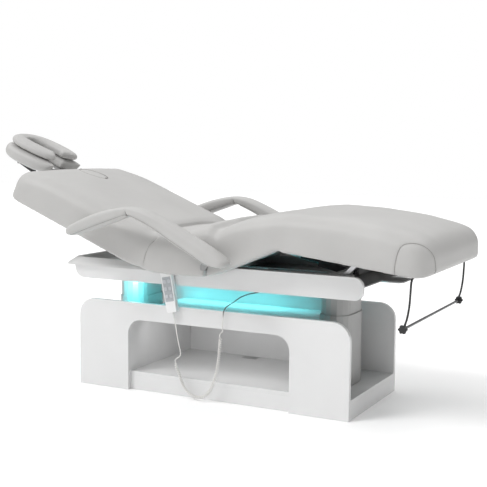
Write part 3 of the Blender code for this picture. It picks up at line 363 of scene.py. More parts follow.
def inflate(obj, voxel, cap, pinned, smoothing=2):
    """Remesh a padded shape, blow its cover up as cloth, and let no point swell by more than the cap."""
    mod = obj.modifiers.new("remesh", "REMESH")
    mod.mode = "VOXEL"
    mod.voxel_size = voxel
    apply_modifiers(obj)
    group = obj.vertex_groups.new(name="pin")
    group.add([int(i) for i in np.nonzero(pinned(points_of(obj)))[0]], 1.0, "REPLACE")
    relax(obj, 3)
    start = points_of(obj)
    cloth = obj.modifiers.new("cloth", "CLOTH")
    cloth.settings.quality = 5
    cloth.settings.mass = 0.4
    cloth.settings.tension_stiffness = 30
    cloth.settings.compression_stiffness = 30
    cloth.settings.shear_stiffness = 10
    cloth.settings.bending_stiffness = 6
    cloth.settings.use_pressure = True
    cloth.settings.uniform_pressure_force = CLOTH_PRESSURE
    cloth.settings.vertex_group_mass = "pin"
    cloth.settings.effector_weights.gravity = 0.0
    cloth.collision_settings.use_collision = False
    cloth.point_cache.frame_start = 1
    cloth.point_cache.frame_end = CLOTH_FRAMES
    scene = bpy.context.scene
    for number in range(1, CLOTH_FRAMES + 1):
        scene.frame_set(number)
    apply_modifiers(obj)
    scene.frame_set(1)
    moved = points_of(obj) - start
    far = np.linalg.norm(moved, axis=1, keepdims=True)
    set_points(obj, start + moved * np.minimum(1.0, cap / np.maximum(far, 1e-9)))
    relax(obj, smoothing)
    obj.vertex_groups.clear()
    mod = obj.modifiers.new("finer", "SUBSURF")
    mod.levels = mod.render_levels = 1
    apply_modifiers(obj)
    obj.data.shade_smooth()
    return obj


def groove(obj, path, depth, width, fade=0):
    """Press a seam into a surface along a line of points, growing over its first and last few points."""
    points = points_of(obj)
    normals = np.zeros(len(points) * 3, np.float32)
    obj.data.vertices.foreach_get("normal", normals)
    normals = normals.reshape(-1, 3)
    line = np.array(path, float)
    order = np.arange(len(line))
    grow = np.minimum(1.0, np.minimum(order, order[::-1]) / max(fade, 1)) if fade else np.ones(len(line))
    nearest = np.full(len(points), 1e9)
    strength = np.zeros(len(points))
    for i, (a, b) in enumerate(zip(line, line[1:])):
        run = b - a
        share = np.clip(((points - a) @ run) / max(run @ run, 1e-12), 0, 1)
        away = np.linalg.norm(points - a - share[:, None] * run, axis=1)
        closer = away < nearest
        nearest = np.where(closer, away, nearest)
        strength = np.where(closer, grow[i] + share * (grow[i + 1] - grow[i]), strength)
    press = depth * strength * np.exp(-(nearest / width) ** 2)
    set_points(obj, points - normals * press[:, None])


def tree_of(obj):
    """Search tree over an object's faces."""
    mesh = obj.data
    return BVHTree.FromPolygons([v.co for v in mesh.vertices], [p.vertices for p in mesh.polygons])


def tube(name, points, radius, mat, resolution=1):
    curve = bpy.data.curves.new(name, "CURVE")
    curve.dimensions = "3D"
    curve.bevel_depth = radius
    curve.bevel_resolution = resolution
    curve.use_fill_caps = True
    spline = curve.splines.new("POLY")
    spline.points.add(len(points) - 1)
    for target, place in zip(spline.points, points):
        target.co = (*place, 1.0)
    obj = new_object(name, curve)
    obj.data.materials.append(mat)
    return obj


def tube_mesh(name, points, radius, mat):
    """The same tube as a mesh."""
    curve = tube(name + "_line", points, radius, mat)
    mesh = bpy.data.meshes.new_from_object(curve.evaluated_get(bpy.context.evaluated_depsgraph_get()))
    bpy.data.objects.remove(curve)
    mesh.name = name
    mesh.shade_smooth()
    obj = new_object(name, mesh)
    lay_on(obj, mat)
    return obj


def squared(value, power):
    """A sine or cosine raised to a power with its sign kept, which squares a circle off."""
    return abs(value) ** power * (1 if value >= 0 else -1)


def even_route(points, spacing):
    """Evenly spaced points along a smooth curve through the given ones."""
    dense = [Vector(p) for p in smooth_values(points, 24)]
    lengths = [0.0]
    for a, b in zip(dense, dense[1:]):
        lengths.append(lengths[-1] + (b - a).length)
    count = max(2, round(lengths[-1] / spacing))
    route, index = [], 0
    for k in range(count + 1):
        want = lengths[-1] * k / count
        while index < len(dense) - 2 and lengths[index + 1] < want:
            index += 1
        part = (want - lengths[index]) / max(lengths[index + 1] - lengths[index], 1e-9)
        route.append(dense[index].lerp(dense[index + 1], min(part, 1.0)))
    return route


def route_length(points):
    return sum((b - a).length for a, b in zip(points, points[1:]))


# ---- the hand control's cord ----
CORD_D = 0.0045
COIL_RADIUS = 0.0047
COIL_PITCH = 0.0086
COIL_STEPS = 14                   # points in one turn of the coil
PULLED_LENGTH, PULLED_TIMES = 0.044, 5.0   # the last turns are pulled out to so many times the pitch
CORD_Y = -0.280
CASE_LENGTH, RELIEF_LENGTH = 0.168, 0.024
CORD_SPACING = 0.0110             # between points of the straight parts


def cord_points():
    """Straight lead, coiled part and straight tail on one line, as in the CAD source."""
    y = CORD_Y
    down = Vector((-sin(HANDSET_LEAN), 0, -cos(HANDSET_LEAN)))
    foot = Vector((HANDSET_TOP.x, y, HANDSET_TOP.z)) + down * CASE_LENGTH
    relief_end = foot + down * RELIEF_LENGTH
    lead = even_route([relief_end + down * 0.0003, (-0.1265, y, 0.2950), (-0.1200, y, 0.2580),
                       (-0.1105, y, 0.2180), (-0.1035, y, 0.1900), (-0.1060, y, 0.1720), (-0.1190, y, 0.1640),
                       (-0.1285, y, 0.1545)], CORD_SPACING)
    spine = even_route([(-0.1267, y, 0.1467), (-0.1210, y, 0.1230), (-0.1070, y, 0.0940), (-0.0960, y, 0.0660),
                        (-0.0790, y, 0.0390), (-0.0580, y, 0.0220), (-0.0330, y, 0.0145), (-0.0080, y, 0.0165),
                        (0.0120, y, 0.0270), (0.0280, y, 0.0440), (0.0420, y, 0.0680), (0.0530, y, 0.0960),
                        (0.0630, y, 0.1350), (0.0700, y, 0.1775), (0.0740, y, 0.2200), (0.0770, y, 0.2570),
                        (0.0810, y, 0.2850), (0.0850, y, 0.3060)], COIL_PITCH / COIL_STEPS)
    turns_in = 1.5 * COIL_PITCH
    total = route_length(spine)
    coil, run, turn = [], 0.0, 0.0
    for i, p in enumerate(spine):
        tangent = (spine[min(i + 1, len(spine) - 1)] - spine[max(i - 1, 0)]).normalized()
        side = Vector((0, 1, 0))
        out = tangent.cross(side).normalized()
        grow = min(1.0, run / turns_in, (total - run) / turns_in)
        grow = grow * grow * (3 - 2 * grow)
        coil.append(p + (out * cos(turn) + side * sin(turn)) * COIL_RADIUS * grow)
        if i + 1 < len(spine):
            step = (spine[i + 1] - p).length
            run += step
            pulled = PULLED_TIMES if total - run < PULLED_LENGTH else 1.0
            turn += 2 * pi * step / (COIL_PITCH * pulled)
    tail = even_route([(0.0850, y, 0.3064), (0.0880, y, 0.3400), (0.0905, y, 0.3660), (0.0990, y, 0.3860),
                       (0.1200, y, 0.4010), (0.1430, y, 0.4170), (0.1650, y + 0.004, 0.4330),
                       (0.1900, y + 0.016, 0.4440), (0.2150, y + 0.033, 0.4500), (0.2350, y + 0.048, 0.4540),
                       (0.2470, y + 0.058, 0.4600), (0.2500, y + 0.061, 0.4700)], CORD_SPACING)
    end = [Vector((0.2500, y + 0.061, 0.4797))]
    return lead + coil[1:-1] + tail + end


def make_cord(mat):
    points = cord_points()
    cord = tube("handset_cord", points, CORD_D / 2, mat, 2)
    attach(cord, "upper_frame")
    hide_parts("cord_lead", "cord_curl", "cord_tail")


# ---- the mattress ----
# each section's own axes run along it and up from its hinge
def back_point(x, z):
    return (BACK_HINGE.x + x * cos(BACK_ANGLE) + z * sin(BACK_ANGLE),
            BACK_HINGE.z - x * sin(BACK_ANGLE) + z * cos(BACK_ANGLE))


def thigh_point(x, z):
    return (HIP_HINGE.x + x * cos(THIGH_ANGLE) - z * sin(THIGH_ANGLE),
            HIP_HINGE.z + x * sin(THIGH_ANGLE) + z * cos(THIGH_ANGLE))


def calf_point(x, z):
    return (KNEE.x + x * cos(CALF_ANGLE) - z * sin(CALF_ANGLE),
            KNEE.z + x * sin(CALF_ANGLE) + z * cos(CALF_ANGLE))


def round_off(share):
    """How far a quarter-round edge has dropped, from 0 at its start to 1 at its end."""
    return 1 - sqrt(max(0.0, 1 - min(1.0, max(0.0, share)) ** 2))


# where each end lies along its own section, and how far in its top starts to round off
HEAD_END, HEAD_ROUND = -0.746, 0.074
FOOT_END, FOOT_ROUND = 0.584, 0.064
CORNER_REACH, CORNER_INSET = 0.100, 0.050   # seen from above, the sides turn in towards both ends
RECESS_HALF = 0.276                         # half width of the hollow over the carrying boards
CROWN = 0.010
SHRINK = 0.002                              # room left for the cover to swell


def mattress_stations():
    """Rows from head to foot.

    Each holds bottom x and z, top x and z, edge radius, recess height, share of the end's rounding, and inset.
    """
    rows = []
    for x in (HEAD_END, -0.7453, -0.7432, -0.7390, -0.7320, -0.7230, -0.7110, -0.6960, -0.6780, -0.6550,
              -0.6200, -0.5750, -0.5200, -0.4400, -0.3200, -0.2000, -0.1200, -0.0700):
        share = max(0.0, (HEAD_END + HEAD_ROUND - x) / HEAD_ROUND)
        high = 0.072 - 0.020 * min(1.0, max(0.0, (-0.500 - x) / 0.190)) ** 1.4
        low = -0.075 + 0.028 * round_off((HEAD_END + 0.05 - x) / 0.05)
        recess = 0.0 if x < -0.700 else 0.0350
        corner = CORNER_INSET * round_off((HEAD_END + CORNER_REACH - x) / CORNER_REACH)
        edge = 0.060 + 0.014 * min(1.0, share)
        rows.append((*back_point(x, low), *back_point(x, high), edge, recess, share, corner))
    rows.append((-0.2400, 0.5330, -0.2300, 0.6690, 0.050, 0.026, 0, 0))
    rows.append((-0.2080, 0.5220, -0.2010, 0.6600, 0.045, 0.032, 0, 0))
    rows.append((-0.1750, 0.5150, -0.1700, 0.6600, 0.050, 0.038, 0, 0))
    rows.append((-0.1200, 0.5130, -0.1150, 0.6640, 0.055, 0.038, 0, 0))
    rows.append((-0.0600, 0.5130, -0.0560, 0.6780, 0.055, 0.038, 0, 0))
    rows.append((0.0000, 0.5130, -0.0060, 0.6930, 0.055, 0.038, 0, 0))
    rows.append((0.0520, 0.5150, 0.0380, 0.7060, 0.055, 0.038, 0, 0))
    rows.append((0.0890, 0.5220, 0.0680, 0.7150, 0.055, 0.034, 0, 0))
    for x, high in ((0.060, 0.128), (0.110, 0.132), (0.170, 0.129), (0.225, 0.120)):
        rows.append((*thigh_point(x, -0.0250), *thigh_point(x, high), 0.056, 0.030, 0, 0))
    rows.append((*thigh_point(0.272, -0.0240), *thigh_point(0.262, 0.109), 0.056, 0.034, 0, 0))
    top_x, top_z = calf_point(0.0, 0.104)
    rows.append((0.3585, 0.6335, top_x - 0.008, top_z + 0.001, 0.056, 0.036, 0, 0))
    for x in (0.0300, 0.0900, 0.1800, 0.2800, 0.3700, 0.4300, 0.4700, 0.5000, 0.5220, 0.5400, 0.5540, 0.5650,
              0.5735, 0.5795, 0.5828, FOOT_END):
        share = max(0.0, (x - FOOT_END + FOOT_ROUND) / FOOT_ROUND)
        high = 0.107 + 0.015 * min(1.0, x / 0.20) - 0.030 * max(0.0, (x - 0.330) / 0.262) ** 1.6
        low = -0.0280 + 0.032 * round_off((x - FOOT_END + 0.06) / 0.06)
        recess = 0.0 if x > 0.505 else 0.030
        corner = CORNER_INSET * round_off((x - FOOT_END + CORNER_REACH) / CORNER_REACH)
        rows.append((*calf_point(x, low), *calf_point(x, high), 0.060, recess, share, corner))
    return rows


def mattress_section(row):
    """One cross-section; the side and end roundings join in a ball-shaped corner."""
    xb, zb, xt, zt, edge, recess, end, corner = row
    height = hypot(xt - xb, zt - zb)
    up = ((xt - xb) / height, (zt - zb) / height)
    low = min(0.006, height * 0.2)
    end = min(1.0, max(0.0, end))
    outer = BED_HALF - SHRINK - corner
    half = outer - edge * round_off(end)
    outline = []
    steps = 44
    for k in range(steps + 1):
        y = half * sin(pi / 2 * (2 * k / steps - 1))
        side = max(0.0, (abs(y) - outer + edge) / edge)
        drop = edge * round_off(hypot(side, end))
        outline.append((y, height - SHRINK - drop + CROWN * (1 - (y / half) ** 2) * (1 - end)))
    flank = [(half, (height - edge - SHRINK) * (1 - k / 6) + low * k / 6) for k in range(1, 6)]
    flank += [(half - low * 0.3, low * 0.3), (half - low, 0.0)]
    recess_half = min(RECESS_HALF, half - 0.03)
    flank += [(recess_half, 0.0), (recess_half, recess)]
    outline += flank + [(0.0, recess)] + [(-y, v) for y, v in reversed(flank)]
    return [(xb + up[0] * v, y, zb + up[1] * v) for y, v in outline]


def mattress_low(points):
    """True for the vertices of the underside, which stays on the carrying boards."""
    rows = np.array([(r[0], r[1]) for r in mattress_stations()])
    order = np.argsort(rows[:, 0])
    base = np.interp(points[:, 0], rows[order, 0], rows[order, 1])
    hollow = (np.abs(points[:, 0]) < 0.85) & (np.abs(points[:, 1]) < RECESS_HALF + 0.012)
    return (points[:, 2] < base + 0.012) | (hollow & (points[:, 2] < base + 0.050))


def difference(obj, tool):
    mod = obj.modifiers.new("cut", "BOOLEAN")
    mod.operation = "DIFFERENCE"
    mod.solver = "EXACT"
    mod.object = tool
    apply_modifiers(obj)
    bpy.data.objects.remove(tool)


def block(name, low, high):
    bm = bmesh.new()
    bmesh.ops.create_cube(bm, size=1.0)
    size = Vector(high) - Vector(low)
    bmesh.ops.transform(bm, matrix=Matrix.Translation((Vector(low) + Vector(high)) / 2)
                        @ Matrix.Diagonal((*size, 1.0)), verts=bm.verts)
    return from_bmesh(name, bm, False)


def snap(tree, points, side=1):
    """The nearest places on a surface, for the points as given or, with side -1, for their mirror images."""
    return [tree.find_nearest(Vector((x, y * side, z)))[0] for x, y, z in points]


def split_along(obj, planes, names):
    """Cut a mesh into successive pieces by planes of (point, normal towards the next piece)."""
    pieces = []
    for index, name in enumerate(names):
        bm = bmesh.new()
        bm.from_mesh(obj.data)
        for k, (point, normal) in enumerate(planes):
            if k in (index - 1, index):
                bmesh.ops.bisect_plane(bm, geom=bm.verts[:] + bm.edges[:] + bm.faces[:], plane_co=point,
                                       plane_no=normal, clear_inner=k < index, clear_outer=k == index)
        mesh = bpy.data.meshes.new(name)
        bm.to_mesh(mesh)
        bm.free()
        mesh.shade_smooth()
        pieces.append(new_object(name, mesh))
    bpy.data.objects.remove(obj)
    return pieces


FOLD_SIDE = [(-0.2200, -0.3800, 0.5230), (-0.2150, -0.3800, 0.5600), (-0.2060, -0.3800, 0.5920),
             (-0.1920, -0.3780, 0.6220), (-0.1760, -0.3700, 0.6450), (-0.1720, -0.3480, 0.6580),
             (-0.1850, -0.3050, 0.6640), (-0.2000, -0.2450, 0.6660), (-0.2130, -0.1700, 0.6660),
             (-0.2190, -0.0900, 0.6670), (-0.2200, 0.0000, 0.6680)]


# outline of the near patch round the foot corner, from the lower edge over the top and down the end
FOOT_PATCH = [(0.808, -0.380, 0.560), (0.811, -0.380, 0.610), (0.818, -0.378, 0.650), (0.832, -0.368, 0.680),
              (0.858, -0.355, 0.690), (0.890, -0.340, 0.684), (0.920, -0.322, 0.664), (0.938, -0.305, 0.635),
              (0.943, -0.296, 0.600), (0.940, -0.290, 0.565)]

# each cover names a bend between two bodies, from one place to another, and stands for some nodes
BACK_BEND = ("backrest", "upper_frame", (-0.290, 0, 0.640), (-0.135, 0, 0.590))
HIP_BEND = ("upper_frame", "thigh_section", (0.000, 0, 0.560), (0.150, 0, 0.585))
KNEE_BEND = ("thigh_section", "calf_section", (0.285, 0, 0.640), (0.425, 0, 0.655))
COVERS = [("back_and_seat_cushion", BACK_BEND, ("back_cushion", "seat_cushion")),
          ("seat_and_thigh_cushion", HIP_BEND, ("thigh_cushion",)),
          ("thigh_and_calf_cushion", KNEE_BEND, ("calf_cushion",))]


def fold_line(tree):
    return snap(tree, FOLD_SIDE) + snap(tree, FOLD_SIDE[-2::-1], -1)


def press_mattress_seams(shape):
    """Press in the fold, the seat's crease and the foot patches; gives the sewn seams' names and lines."""
    tree = tree_of(shape)
    fold = fold_line(tree)
    groove(shape, fold[4:-4], 0.0085, 0.0090, 4)
    groove(shape, fold, 0.0022, 0.0040)
    crease = snap(tree, [(-0.105, -0.30 + 0.6 * k / 8, 0.675) for k in range(9)])
    groove(shape, crease, 0.0022, 0.010)
    tree = tree_of(shape)
    seams = [("fold_seam", fold_line(tree))]
    for name, side in (("near", 1), ("far", -1)):
        patch = snap(tree, even_route(snap(tree, FOOT_PATCH, side), 0.008))
        groove(shape, patch, 0.0018, 0.0050)
        seams.append(("foot_patch_seam_" + name, patch))
    return seams


def cut_hip_slits(shape):
    """Slits in both lower edges, in the gap that the CAD solids leave between the seat and the thigh cushion."""
    for side in (-1, 1):
        inner, outer = sorted((side * 0.262, side * 0.42))
        difference(shape, block("slit", (0.0500, inner, 0.40), (0.0680, outer, 0.572)))


def make_mattress(leather, thread):
    rows = smooth_values(mattress_stations(), 3)
    shape = loft("mattress", [mattress_section(r) for r in rows])
    inflate(shape, 0.0095, 0.003, mattress_low, 16)
    seams = press_mattress_seams(shape)
    cut_hip_slits(shape)
    make_plug(shape, leather, thread)
    shape.data.shade_smooth()
    x, z = thigh_point(0.190, 0.0)
    planes = [(Vector((-0.030, 0, 0.6)), Vector((1, 0, 0))),
              (Vector((x, 0, z)), Vector((cos(THIGH_ANGLE), 0, sin(THIGH_ANGLE))))]
    pieces = split_along(shape, planes, [name for name, _, _ in COVERS])
    for cover, (_, bend, nodes) in zip(pieces, COVERS):
        lay_on(cover, leather)
        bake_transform(cover)
        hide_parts(*nodes)
    for name, path in seams:
        line = tube_mesh(name, path, 0.0006, thread)
        if name == "fold_seam":
            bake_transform(line)
        else:
            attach(line, "calf_section")


PLUG_CENTRE, PLUG_HALF = -0.590, (0.075, 0.046)
# rings of the plug: share of its half size, height over the cushion around it
PLUG_RINGS = ((0.25, 0.0014), (0.60, 0.0012), (0.85, 0.0006), (0.94, -0.0006), (0.975, -0.0030),
              (0.975, -0.0500))


def make_stud(name, place, mat):
    """Flat button on the plug, lying with the backrest."""
    bm = bmesh.new()
    bmesh.ops.create_uvsphere(bm, u_segments=16, v_segments=8, radius=0.0055)
    bmesh.ops.scale(bm, vec=(1, 1, 0.45), verts=bm.verts)
    tilt = Matrix.Rotation(BACK_ANGLE, 4, "Y")
    bmesh.ops.transform(bm, matrix=Matrix.Translation(place) @ tilt, verts=bm.verts)
    stud = from_bmesh(name, bm)
    lay_on(stud, mat)
    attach(stud, "breath_plug")


def make_plug(shape, leather, thread):
    """Removable plug of the breathing hole, its top following the cushion around it, and the hole itself."""
    tree = tree_of(shape)
    along = Vector((cos(BACK_ANGLE), 0, -sin(BACK_ANGLE)))
    normal = Vector((sin(BACK_ANGLE), 0, cos(BACK_ANGLE)))
    count = 48
    turns = [2 * pi * k / count for k in range(count)]

    def at(share, turn, height=0.30):
        p = BACK_HINGE + along * (PLUG_CENTRE + PLUG_HALF[0] * share * cos(turn)) + normal * height
        return p + Vector((0, PLUG_HALF[1] * share * sin(turn), 0))

    def land(share, turn):
        return tree.ray_cast(at(share, turn), -normal)[0]

    bm = bmesh.new()
    rings = [[bm.verts.new(land(share, turn) + normal * lift) for turn in turns] for share, lift in PLUG_RINGS]
    for first, second in zip(rings, rings[1:]):
        for k in range(count):
            bm.faces.new((first[k], first[(k + 1) % count], second[(k + 1) % count], second[k]))
    middle = bm.verts.new(land(0, 0) + normal * PLUG_RINGS[0][1])
    for k in range(count):
        bm.faces.new((middle, rings[0][(k + 1) % count], rings[0][k]))
    bm.faces.new(rings[-1])
    plug = from_bmesh("breath_plug_pad", bm)
    lay_on(plug, leather)
    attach(plug, "breath_plug")
    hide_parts("breath_plug")
    for label, turn in (("head", pi), ("foot", 0.0)):
        make_stud("plug_stud_" + label, land(0.93, turn) + normal * 0.0005, thread)
    rim = [land(0.99, turn) - normal * 0.0004 for turn in turns + [2 * pi]]
    edge = tube("plug_seam", rim, 0.0009, thread)
    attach(edge, "backrest")
    cutter = loft("plug_hole", [[at(1.0, turn, height) for turn in turns] for height in (0.2, -0.02)])
    difference(shape, cutter)


# ---- armrests ----
ARM_LINE = [  # top x, z and bottom x, z from the head tip to the foot tip
    (-0.5240, 0.6700, -0.5140, 0.6490), (-0.5140, 0.6850, -0.5000, 0.6480), (-0.4900, 0.7010, -0.4720, 0.6550),
    (-0.4400, 0.7240, -0.4220, 0.6730), (-0.3800, 0.7470, -0.3620, 0.6940), (-0.3000, 0.7680, -0.2880, 0.7210),
    (-0.2350, 0.7760, -0.2300, 0.7400), (-0.1700, 0.7680, -0.1850, 0.7260), (-0.1000, 0.7420, -0.1200, 0.6960),
    (-0.0100, 0.7010, -0.0320, 0.6460), (0.0800, 0.6580, 0.0560, 0.5980), (0.1350, 0.6290, 0.1100, 0.5680),
    (0.1750, 0.6030, 0.1560, 0.5600), (0.1960, 0.5850, 0.1860, 0.5640)]
ARM_HALF = 0.0425
ARM_Y = 0.440


def arm_section(row, share):
    """Rounded-box section between the armrest's top and bottom lines; share is 1 at full width."""
    xt, zt, xb, zb = row
    middle = Vector(((xt + xb) / 2, 0, (zt + zb) / 2))
    up = Vector((xt - xb, 0, zt - zb)) / 2
    points = []
    for k in range(32):
        turn = 2 * pi * k / 32
        y = ARM_HALF * share * squared(cos(turn), 0.62)
        v = squared(sin(turn), 0.62)
        points.append(middle + up * v * 0.94 + Vector((0, y, 0)))
    return points


def gather_elbow(pad, name, side, thread):
    """Pinch the pad in where its two arms meet, with a gathered seam under it and up both sides."""
    tree = tree_of(pad)
    centre = Vector((-0.232, side * ARM_Y, 0.7570))
    turns = [radians(-25 + 230 * k / 20) for k in range(21)]
    elbow = [tree.ray_cast(centre, Vector((0, cos(turn), -sin(turn))))[0] for turn in turns]
    groove(pad, elbow, 0.0060, 0.0060, 4)
    gather = tube_mesh("armrest_gather_" + name, snap(tree_of(pad), elbow[2:-2]), 0.0012, thread)
    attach(gather, "armrest_" + name)


def make_armrests(leather, thread):
    rows = smooth_values(ARM_LINE, 4)
    count = len(rows)
    for name, side in (("near", -1), ("far", 1)):
        loops = []
        for i, row in enumerate(rows):
            inset = min(1.0, (i + 1.2) / 5.0, (count - i + 0.2) / 5.0)
            share = sqrt(max(0.05, 1 - (1 - inset) ** 2))
            loops.append([p + Vector((0, side * ARM_Y, 0)) for p in arm_section(row, share)])
        pad = loft("armrest_pad_" + name, loops)
        inflate(pad, 0.0055, 0.004, nothing_pinned)
        lay_on(pad, leather)
        gather_elbow(pad, name, side, thread)
        tree = tree_of(pad)
        for label, offset in (("outer", side), ("inner", -side)):
            path = []
            for row in rows[3:-2]:
                xt, zt, xb, zb = row
                p = Vector((xb + (xt - xb) * 0.16, side * ARM_Y + offset * 0.07, zb + (zt - zb) * 0.16))
                hit, _, _, _ = tree.ray_cast(p, Vector((0, -offset, 0)))
                if hit is not None:
                    path.append(hit)
            groove(pad, path, 0.0012, 0.0040)
            seam = tube_mesh("armrest_seam_%s_%s" % (name, label), path, 0.0005, thread)
            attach(seam, "armrest_" + name)
        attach(pad, "armrest_" + name)
        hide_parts("armrest_" + name)


# ---- face cradle ----
def cradle_point(x, y, z):
    return Vector((CRADLE_PIVOT.x + x * cos(CRADLE_TILT) + z * sin(CRADLE_TILT), y,
                   CRADLE_PIVOT.z - x * sin(CRADLE_TILT) + z * cos(CRADLE_TILT)))


def superellipse(turn):
    return squared(cos(turn), 0.75), squared(sin(turn), 0.75)


def make_ring_pad(name, middle, outer, hole, foot_reach, under, top, mouth, leather):
    """Horseshoe pad: a rounded section swept round the face opening, between two height curves.

    The outer and the hole are half sizes about the middle, foot_reach is the outer one towards the foot,
    and mouth is half the angle that the horseshoe leaves open.
    """
    loops = []
    count = 61
    for i in range(count):
        turn = mouth + (2 * pi - 2 * mouth) * i / (count - 1)
        c, s = superellipse(turn)
        out = Vector(((foot_reach if c > 0 else outer[0]) * c, outer[1] * s, 0))
        inn = Vector((hole[0] * c, hole[1] * s, 0))
        centre, reach = (out + inn) / 2, (out - inn) / 2
        end = min(1.0, (i + 0.7) / 4.0, (count - i - 0.3) / 4.0)
        swell = sqrt(max(0.06, 1 - (1 - end) ** 2))
        ring = []
        for k in range(24):
            a = 2 * pi * k / 24
            u, v = superellipse(a)
            p = centre + reach * u * (0.75 + 0.25 * swell)
            x = middle + p.x
            low, high = np.interp(x, *under), np.interp(x, *top)
            ring.append(cradle_point(x, p.y, (low + high) / 2 + (high - low) / 2 * v * swell))
        loops.append(ring)
    pad = loft(name, loops)
    inflate(pad, 0.0050, 0.004, nothing_pinned)
    lay_on(pad, leather)
    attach(pad, "face_cradle")
    return pad


# height curves of the pads over the cradle's own x axis: positions, then heights
LOWER_UNDER = ((-0.04, 0.010, 0.030, 0.041, 0.060, 0.085), (0.0240, 0.0330, 0.0470, 0.0650, 0.0780, 0.0900))
LOWER_TOP = ((0.0, 0.055, 0.080), (0.0850, 0.0870, 0.1080))
FACE_UNDER = ((-0.20, 0.06), (0.0880, 0.0880))
FACE_TOP = ((-0.20, 0.06), (0.1250, 0.1250))


def make_cradle(leather):
    lower = make_ring_pad("cradle_lower_cushion", -0.096, (0.166, 0.140), (0.095, 0.056), 0.186, LOWER_UNDER,
                          LOWER_TOP, radians(40), leather)
    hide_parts("cradle_lower_pad")
    upper = make_ring_pad("cradle_face_cushion", -0.098, (0.149, 0.125), (0.096, 0.042), 0.158, FACE_UNDER,
                          FACE_TOP, radians(38), leather)
    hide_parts("cradle_face_pad")


# ---- materials on the CAD nodes ----
def handset_material():
    """White case with a grey key field on its front face."""
    mat, tree, shader = principled("handset plastic", (0.80, 0.80, 0.80), 0.34)
    place = object_place(tree)
    mapping = add(tree, "ShaderNodeMapping", vector_type="TEXTURE")
    mapping.inputs["Location"].default_value = HANDSET_TOP
    mapping.inputs["Rotation"].default_value = (0, HANDSET_LEAN, 0)
    tree.links.new(place, mapping.inputs["Vector"])
    axes = add(tree, "ShaderNodeSeparateXYZ")
    tree.links.new(mapping.outputs["Vector"], axes.inputs["Vector"])

    def inside(output, centre, half):
        node = add(tree, "ShaderNodeMath", operation="COMPARE")
        tree.links.new(output, node.inputs[0])
        node.inputs[1].default_value = centre
        node.inputs[2].default_value = half
        return node.outputs["Value"]

    mask = inside(axes.outputs["X"], 0.0, 0.0195)
    for other in (inside(axes.outputs["Z"], -0.074, 0.050), inside(axes.outputs["Y"], -0.290, 0.0015)):
        both = add(tree, "ShaderNodeMath", operation="MULTIPLY")
        tree.links.new(mask, both.inputs[0])
        tree.links.new(other, both.inputs[1])
        mask = both.outputs["Value"]
    mix = add(tree, "ShaderNodeMix", data_type="RGBA")
    mix.inputs[6].default_value = (0.80, 0.80, 0.80, 1)   # the two colours to mix
    mix.inputs[7].default_value = (0.42, 0.44, 0.46, 1)
    tree.links.new(mask, mix.inputs["Factor"])
    tree.links.new(mix.outputs[2], shader.inputs["Base Color"])
    grain = texture(tree, place, 500.0, 2.0)
    bump(tree, shader, grain.outputs["Fac"], 0.08, 0.0004)
    return mat


def soften_edges(node, width, segments=2):
    mod = NODES[node].modifiers.new("edge", "BEVEL")
    mod.width = width
    mod.segments = segments
    mod.limit_method = "ANGLE"
    mod.angle_limit = radians(50)


def dress_nodes(leather, thread, cord):
    laminate = laminate_material("white laminate", (0.72, 0.72, 0.72))
    shell = paint_material("white moulding", (0.66, 0.66, 0.655), 0.36, 0.0, 0.015, 300.0, 0.05)
    column = paint_material("column grey", (0.36, 0.36, 0.355), 0.40, 0.35, 0.03, 260.0, 0.06)
    frame_paint = paint_material("frame grey", (0.15, 0.15, 0.15), 0.48, 0.35)
    boards = paint_material("board grey", (0.26, 0.255, 0.25), 0.62, 0.0, 0.08, 120.0, 0.2)
    black = paint_material("black plastic", (0.018, 0.018, 0.019), 0.42, 0.0, 0.10, 350.0, 0.15)
    rubber = paint_material("relief rubber", (0.66, 0.66, 0.65), 0.55, 0.0)
    keys = paint_material("key grey", (0.55, 0.57, 0.60), 0.45, 0.0)
    steel = steel_material("bright steel", (0.62, 0.62, 0.63), 0.28, (1.0, 12.0, 12.0))
    glow = glow_material("cyan light", (0.30, 0.86, 0.90), 1.2)
    slots = {"white_laminate": laminate, "moulded_shell": shell, "column_grey": column,
             "frame_grey": frame_paint, "carrier_board": boards, "grey_leather": leather,
             "bright_steel": steel, "black_plastic": black, "white_plastic": handset_material(),
             "keypad_grey": keys, "cyan_light": glow, "cord_white": cord, "relief_rubber": rubber}
    for part in frame["record"]["subparts"]:
        lay_on(NODES[part["node"]], slots[part["material_slot"]])
    for node in ("side_panel_near", "side_panel_far", "skirt_near", "skirt_far", "plinth_top", "plinth_base",
                 "partition_head", "partition_foot", "niche_shelf"):
        soften_edges(node, 0.0016)
    lay_on(NODES["roll_bar"], steel_material("roll bar steel", (0.16, 0.16, 0.165), 0.30, (12.0, 1.0, 12.0)))
    bracket = steel_material("bracket steel", (0.30, 0.30, 0.30), 0.34, (12.0, 1.0, 1.0))
    for node in ("armrest_bracket_near", "armrest_bracket_far"):
        lay_on(NODES[node], bracket)
    plate = paint_material("plate grey", (0.33, 0.33, 0.33), 0.45, 0.3, 0.06, 200.0, 0.1)
    for node in ("thigh_board", "seat_board", "support_frame", "cradle_platform", "cable_grommet"):
        lay_on(NODES[node], plate)
    soften_edges("head_cowl", 0.004, 3)
    soften_edges("handset_case", 0.0022, 3)
    for number in range(1, 7):
        soften_edges("button_%d" % number, 0.0006)
    for node in ("calf_board", "thigh_board", "back_board", "seat_board", "control_box", "leg_actuator_body",
                 "back_actuator_body", "cradle_platform", "deck_plate"):
        soften_edges(node, 0.0012, 1)


# ---- light and floor ----
AMBIENT = 0.38
CYAN = (0.16, 0.82, 0.88)


